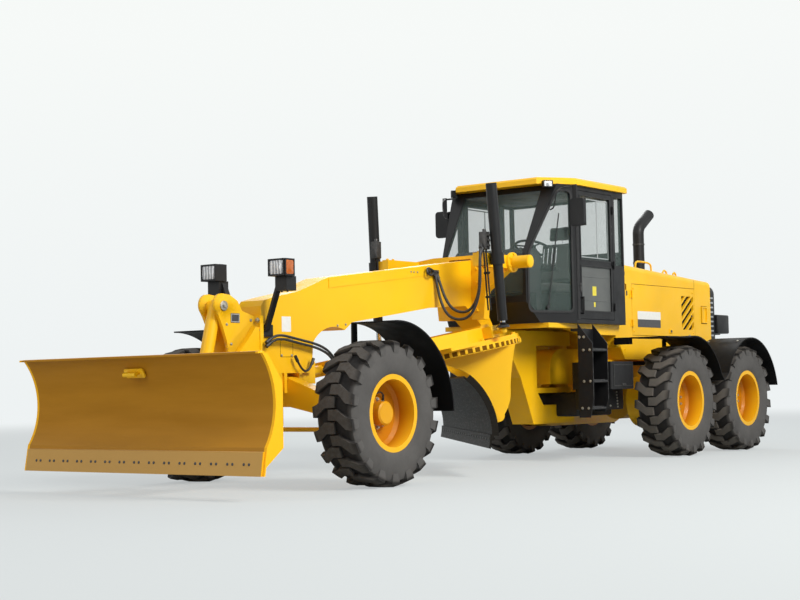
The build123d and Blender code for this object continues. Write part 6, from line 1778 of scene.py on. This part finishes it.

# %% [markdown]
# ## The engine hood
# The louvres are cut right through the doors, so a dark mesh sheet of painted shade is fixed behind them,
# standing for the dark engine bay and keeping the light from showing through. Covers, caps and handles are
# small pressed parts. The blank data plate on the left door is anodised, with a dark lower half.

# %% Louvre screens, plates and handles
HOOD_X = 0.600
# A black sheet of painted shade for behind the louvres; the same black backs the radiator guard and fills the
# exhaust's mouth.
mesh_and_shade_black = new_material("louvre_shade_screen", (0.006, 0.006, 0.006), 0.8, specular=0.1)
mesh_weave = node(mesh_and_shade_black, "ShaderNodeTexVoronoi", Scale=160.0)
wire(mesh_and_shade_black, object_place(mesh_and_shade_black), mesh_weave.inputs["Vector"])
bump(mesh_and_shade_black, mesh_weave.outputs["Distance"], 0.5, 0.003)
weave_tone = mixed(mesh_and_shade_black, mesh_weave.outputs["Distance"], (0.004, 0.004, 0.004), (0.012, 0.012, 0.012))
finish(mesh_and_shade_black, weave_tone)
for side, sign in SIDES:
    # Behind each door's louvres, a sheet of painted shade.
    screen_bm = bmesh.new()
    add_plate(screen_bm, *side_wall(sign, 0.5675, 7.198, 1.757), (0.375, 0.460, 0.002))
    finished(f"louvre_shade_screen_{side}", screen_bm, mesh_and_shade_black, f"hood_door_{side}", 30)
    trim_bm = bmesh.new()
    for behind, z in ((5.76, 1.50), (5.76, 2.02), (7.34, 1.50), (7.34, 2.02)):
        add_bolt(trim_bm, *side_spot(sign, HOOD_X, behind, z), 0.016, 0.006)
    add_plate(trim_bm, *side_wall(sign, HOOD_X, 6.72, 1.515), (0.075, 0.060, 0.008), 0.010, 0.003)
    finished(f"hood_door_fixings_{side}", trim_bm, yellow_paint, f"hood_door_{side}", 35)
    latch_bm = bmesh.new()
    add_plate(latch_bm, *side_wall(sign, HOOD_X + 0.008, 6.72, 1.515), (0.040, 0.030, 0.003), 0.006)
    add_round(latch_bm, *side_spot(sign, HOOD_X + 0.0005, 7.30, 1.72), 0.014, 0.008, 16, 0.002)
    finished(f"hood_latch_{side}", latch_bm, black_steel, f"hood_door_{side}", 35)

for half, z, tall, film in (("upper", 1.700, 0.100, white_film), ("lower", 1.602, 0.096, dark_plate)):
    plate_bm = bmesh.new()
    add_plate(plate_bm, *side_wall(1, HOOD_X, 6.155, z), (0.590, tall, 0.002), 0.010)
    finished(f"hood_blank_plate_{half}", plate_bm, film, "hood_door_left", 30)

for side, sign in SIDES:
    fixed_bm = bmesh.new()
    add_outline(fixed_bm, *side_wall(sign, HOOD_X, 7.665, 1.745), (0.150, 0.215), 0.018, 0.014)
    for z in (1.28, 1.40):
        for behind in (5.52, 7.82):
            add_bolt(fixed_bm, *side_spot(sign, HOOD_X, behind, z), 0.020, 0.008)
    finished(f"hood_side_handle_{side}", fixed_bm, yellow_paint, "rear_chassis", 35)
    gap_bm = bmesh.new()
    add_outline(gap_bm, *side_wall(sign, HOOD_X, 7.665, 1.745), (0.168, 0.233), 0.007, 0.0008)
    for bottom, top in ((2.082, 2.190), (1.180, 1.444)):
        add_plate(gap_bm, *side_wall(sign, HOOD_X, 7.400, (bottom + top) / 2), (0.006, top - bottom, 0.0008))
    add_plate(gap_bm, *side_wall(sign, HOOD_X, 5.58, 2.035), (0.030, 0.075, 0.0008), 0.008)
    finished(f"hood_seams_{side}", gap_bm, seam_shadow, "rear_chassis", 30)
    cap_bm = bmesh.new()
    add_round(cap_bm, *side_spot(sign, HOOD_X, 5.49, 2.200), 0.062, 0.010, 28, 0.004)
    add_round(cap_bm, *side_spot(sign, HOOD_X + 0.010, 5.49, 2.200), 0.034, 0.008, 20, 0.003)
    add_plate(cap_bm, *side_wall(sign, HOOD_X, 5.60, 1.96), (0.026, 0.060, 0.004), 0.006)
    finished(f"hood_round_cap_{side}", cap_bm, black_steel, "rear_chassis", 35)
print("hood doors dressed")

# %% [markdown]
# ## On top of the hood
# Two bent grab rails help a person on the catwalk, the radiator and the air cleaner each have a cap,
# and a clamp holds the exhaust stack above the hood. The stack's mouth is turned in, dark inside.

# %% Rails, caps and the exhaust
rail_bm = bmesh.new()
HOOD_TOP = 2.30
for x, start, end, tall in ((0.40, 6.20, 6.62, 0.125), (0.38, 6.96, 7.08, 0.085), (0.38, 7.24, 7.34, 0.085)):
    drop = 0.053 * (start - 5.2)
    base = HOOD_TOP - drop + 0.020
    points = [
        at(x, start, base - 0.03),
        at(x, start, base + tall * 0.6),
        at(x, start + 0.03, base + tall),
        at(x, (start + end) / 2, base + tall),
        at(x, end - 0.03, base + tall - 0.01),
        at(x, end, base + tall * 0.5),
        at(x, end, base - 0.05),
    ]
    add_hose(rail_bm, points, 0.012, False)
finished("hood_grab_rails", rail_bm, yellow_paint, "rear_chassis", 40)
caps_bm = bmesh.new()
RADIATOR_CAP = ((0.060, 0.0), (0.060, 0.030), (0.052, 0.046), (0.030, 0.052), (0.0, 0.053))
CLEANER_CAP = ((0.045, 0.0), (0.045, 0.024), (0.040, 0.034), (0.0, 0.036))
add_turned(caps_bm, RADIATOR_CAP, at(-0.28, 6.20, 2.270), (0, 0, 1), 28)
add_turned(caps_bm, CLEANER_CAP, at(0.20, 7.55, 2.196), (0, 0, 1), 24)
finished("hood_filler_caps", caps_bm, black_steel, "rear_chassis", 40)
clamp_bm = bmesh.new()
STACK_X, STACK_BEHIND, STACK_RADIUS = 0.100, 6.860, 0.072
BAND_IN, BAND_OUT = STACK_RADIUS + 0.001, STACK_RADIUS + 0.006
for z, wide in ((2.42, 0.030), (2.66, 0.020)):
    band = [(BAND_IN, -wide / 2), (BAND_OUT, -wide / 2), (BAND_OUT, wide / 2), (BAND_IN, wide / 2)]
    add_turned(clamp_bm, band + band[:1], at(STACK_X, STACK_BEHIND, z), (0, 0, 1), 36)
add_bolt(clamp_bm, at(STACK_X + STACK_RADIUS + 0.006, STACK_BEHIND, 2.42), (1, 0, 0), 0.022, 0.016)
# the collar on the hood: out from the stack, up from the sheet
COLLAR = ((0.012, 0.0), (0.060, 0.0), (0.060, 0.008), (0.020, 0.022), (0.012, 0.022), (0.012, 0.0))
collar = [(STACK_RADIUS + out, up) for out, up in COLLAR]
add_turned(clamp_bm, collar, at(STACK_X, STACK_BEHIND, 2.255), (0, 0, 1), 40)
finished("exhaust_clamps", clamp_bm, black_steel, "rear_chassis", 40)
mouth_bm = bmesh.new()
mouth_dir = Vector((0, 0.300, 0.200)).normalized()
mouth_at = at(STACK_X, STACK_BEHIND + 0.300, 3.070) + mouth_dir * 0.0005
add_round(mouth_bm, mouth_at, mouth_dir, STACK_RADIUS - 0.008, 0.001, 28)
finished("exhaust_mouth", mouth_bm, mesh_and_shade_black, "rear_chassis", 30)
print("hood top dressed")

# %% [markdown]
# ## The tail
# The radiator guard is a black frame with slots along its sides, backed by expanded mesh. Below it the tail
# box carries the lamps at its two ends. Behind the jaw of the frame hangs a towing pin.

# %% Radiator guard, tail lamps, towing pin
guard_y = low("rear_grille", Y)
guard_x = high("rear_grille", X)
SLOTS, FIRST_SLOT_Z, SLOT_PITCH = 10, 1.42, 0.062
slot_bm = bmesh.new()
back_bm = bmesh.new()
for side, sign in SIDES:
    for index in range(SLOTS):
        slot_at = (sign * guard_x, guard_y + 0.115, FIRST_SLOT_Z + index * SLOT_PITCH)
        add_plate(slot_bm, slot_at, (sign, 0, 0), (0, 0, 1), (0.085, 0.022, 0.004), 0.004)
    for z in (1.30, 2.05):
        add_bolt(slot_bm, (sign * guard_x, guard_y + 0.03, z - 0.02), (sign, 0, 0), 0.018, 0.006)
add_plate(back_bm, (0, guard_y + 0.068, 1.69), (0, 1, 0), (0, 0, 1), (0.998, 0.758, 0.004))
finished("guard_side_slats", slot_bm, channel_grey, "rear_chassis", 30)
finished("guard_mesh", back_bm, mesh_and_shade_black, "rear_chassis", 30)
bars_bm = bmesh.new()
guard_back = high("rear_grille", Y)
for x in (-0.33, -0.11, 0.11, 0.33):
    add_plate(bars_bm, (x, guard_y + 0.072, 1.69), (0, 1, 0), (0, 0, 1), (0.022, 0.756, 0.020), 0.0, 0.004)
for x in (-0.53, 0.53):
    for z in (1.40, 1.90):
        add_bolt(bars_bm, (x, guard_back, z), (0, 1, 0), 0.022, 0.008)
finished("guard_bars", bars_bm, black_enamel, "rear_chassis", 35)

TAIL_HALF = high("tail_box", X)
tail_z = middle("tail_box").z
tail_y = high("tail_box", Y)
pod_bm = bmesh.new()
lamp_bm = bmesh.new()
for side, sign in SIDES:
    inner, outer = sorted((sign * (TAIL_HALF - 0.01), sign * (TAIL_HALF + 0.125)))
    pod_back = tail_y - 0.012
    add_box(pod_bm, (inner, tail_y - 0.360, tail_z - 0.125), (outer, pod_back, tail_z + 0.125), 0.018, 3)
    for z in (-0.060, 0.055):
        lamp_at = (sign * (TAIL_HALF + 0.060), pod_back, tail_z + z)
        add_round(lamp_bm, lamp_at, (0, 1, 0), 0.044, 0.010, 28, 0.006)
finished("tail_lamp_pods", pod_bm, black_enamel, "rear_chassis", 40)
finished("tail_lamp_lenses", lamp_bm, red_lens, "rear_chassis", 40)
tail_trim_bm = bmesh.new()
add_outline(tail_trim_bm, (0, tail_y - 0.001, tail_z), (0, 1, 0), (0, 0, 1), (0.78, 0.20), 0.006, 0.0009)
finished("tail_box_seam", tail_trim_bm, seal_rubber, "rear_chassis", 30)
blank_bm = bmesh.new()
add_plate(blank_bm, (0, tail_y - 0.0018, tail_z), (0, 1, 0), (0, 0, 1), (0.30, 0.10, 0.0016), 0.008)
finished("tail_blank_plate", blank_bm, pale_plate, "rear_chassis", 30)
pin_bm = bmesh.new()
JAW_BEHIND, JAW_HIGH = 8.020, 1.010
PIN_SHANK = ((0.0, -0.150), (0.012, -0.150), (0.020, -0.140), (0.020, 0.004))
PIN_HEAD = ((0.034, 0.004), (0.034, 0.020), (0.0, 0.022))
PIN_RING = ((-0.02, 0.02), (-0.02, 0.07), (0.0, 0.09), (0.02, 0.07), (0.02, 0.02))
add_turned(pin_bm, PIN_SHANK + PIN_HEAD, at(0, JAW_BEHIND, JAW_HIGH), (0, 0, 1), 24)
add_hose(pin_bm, [at(x, JAW_BEHIND, JAW_HIGH + up) for x, up in PIN_RING], 0.007, False)
finished("towing_pin", pin_bm, zinc, "rear_chassis", 40)
print("tail dressed")

# %% [markdown]
# ## Ladders, boxes and fenders
# Each ladder is a shallow box of folded plate: a back sheet closes it towards the machine, and the treads'
# front edges are rubbed pale by boots. Bolts hold the treads and the fenders, and each side box's lid has a raised
# rim.

# %% Ladder sheets, treads and bolts
rubbed_edge = two_tone(
    "rubbed_tread_edge", (0.10, 0.10, 0.10), (0.03, 0.03, 0.03), 0.5, 20.0, 5.0, ends=0.65, metallic=0.3
)
LADDER_FORE, LADDER_BACK = 4.100, 4.440
LADDER_MID, LADDER_LONG = (LADDER_FORE + LADDER_BACK) / 2, LADDER_BACK - LADDER_FORE
TREADS = ((0.590, 0.945), (0.890, 0.975), (1.240, 0.975))  # height, outer edge
for side, sign in SIDES:
    sheet_bm = bmesh.new()
    near, far = sorted((sign * 0.792, sign * 0.798))
    fore, aft = FRONT_AXLE_Y + LADDER_FORE + 0.0125, FRONT_AXLE_Y + LADDER_BACK - 0.0125
    add_box(sheet_bm, (near, fore, 0.565), (far, aft, 1.500))
    finished(f"ladder_back_sheet_{side}", sheet_bm, black_enamel, "rear_chassis", 30)
    tread_bm = bmesh.new()
    for z, outer in TREADS:
        lip = (LADDER_LONG - 0.03, 0.008, 0.003)
        add_plate(tread_bm, *side_wall(sign, outer, LADDER_MID, z + 0.015), lip, 0.0, 0.001)
        for row in range(5):
            rib_at = at(sign * (outer - 0.025 - row * 0.028), LADDER_MID, z + 0.030)
            add_plate(tread_bm, rib_at, (0, 0, 1), (1, 0, 0), (LADDER_LONG - 0.07, 0.010, 0.004), 0.0, 0.001)
    for behind in (LADDER_FORE + 0.006, LADDER_BACK - 0.006):
        add_plate(tread_bm, *side_wall(sign, 0.975, behind, 1.015), (0.006, 0.620, 0.002))
    finished(f"ladder_tread_edges_{side}", tread_bm, rubbed_edge, "rear_chassis", 30)
    bolt_bm = bmesh.new()
    for z, outer in TREADS:
        for x in (outer - 0.035, outer - 0.115):
            add_bolt(bolt_bm, at(sign * x, LADDER_FORE, z + 0.015), (0, -1, 0), 0.024, 0.010)
    for x in (0.815, 0.870):
        add_bolt(bolt_bm, at(sign * x, LADDER_FORE, 1.40), (0, -1, 0), 0.024, 0.010)
    finished(f"ladder_bolts_{side}", bolt_bm, zinc, "rear_chassis", 30)
    lid_bm = bmesh.new()
    lid_x, lid_y = sign * high("side_boxes", X), middle("side_boxes").y
    add_outline(lid_bm, (lid_x, lid_y, 0.968), (sign, 0, 0), (0, 0, 1), (0.44, 0.25), 0.010, 0.005)
    add_plate(lid_bm, (lid_x, lid_y, 0.860), (sign, 0, 0), (0, 0, 1), (0.09, 0.03, 0.014), 0.008, 0.003)
    finished(f"side_box_lid_{side}", lid_bm, black_steel, "rear_chassis", 35)

HUB_Z = 0.655
REAR_FENDER, FRONT_FENDER = 0.7652, 0.8252  # radii of the fenders' outer faces


def up_round(angle):
    """The direction from a hub at an angle, in degrees up from straight back."""
    return Vector((0, math.cos(math.radians(angle)), math.sin(math.radians(angle))))


fender_bolt_bm = bmesh.new()
for side, sign in SIDES:
    for wheel, angles in (("middle", (62, 90)), ("rear", (40, 75, 110))):
        centre = middle(f"tyre_{wheel}_{side}").y
        for angle in angles:
            out = up_round(angle)
            for x in (0.93, 1.33):
                spot = Vector((sign * x, centre, HUB_Z)) + out * REAR_FENDER
                add_bolt(fender_bolt_bm, spot, out, 0.022, 0.007)
    front_bm = bmesh.new()
    for angle in (30, 62, 85):
        out = up_round(angle)
        for x in (0.92, 0.98):
            spot = Vector((sign * x, FRONT_AXLE_Y, HUB_Z)) + out * FRONT_FENDER
            add_bolt(front_bm, spot, out, 0.020, 0.006)
    finished(f"front_fender_bolts_{side}", front_bm, zinc, f"knuckle_{side}", 30)
finished("rear_fender_bolts", fender_bolt_bm, zinc, "rear_chassis", 30)
print("ladders and fenders dressed")


# %% [markdown] ## The last line
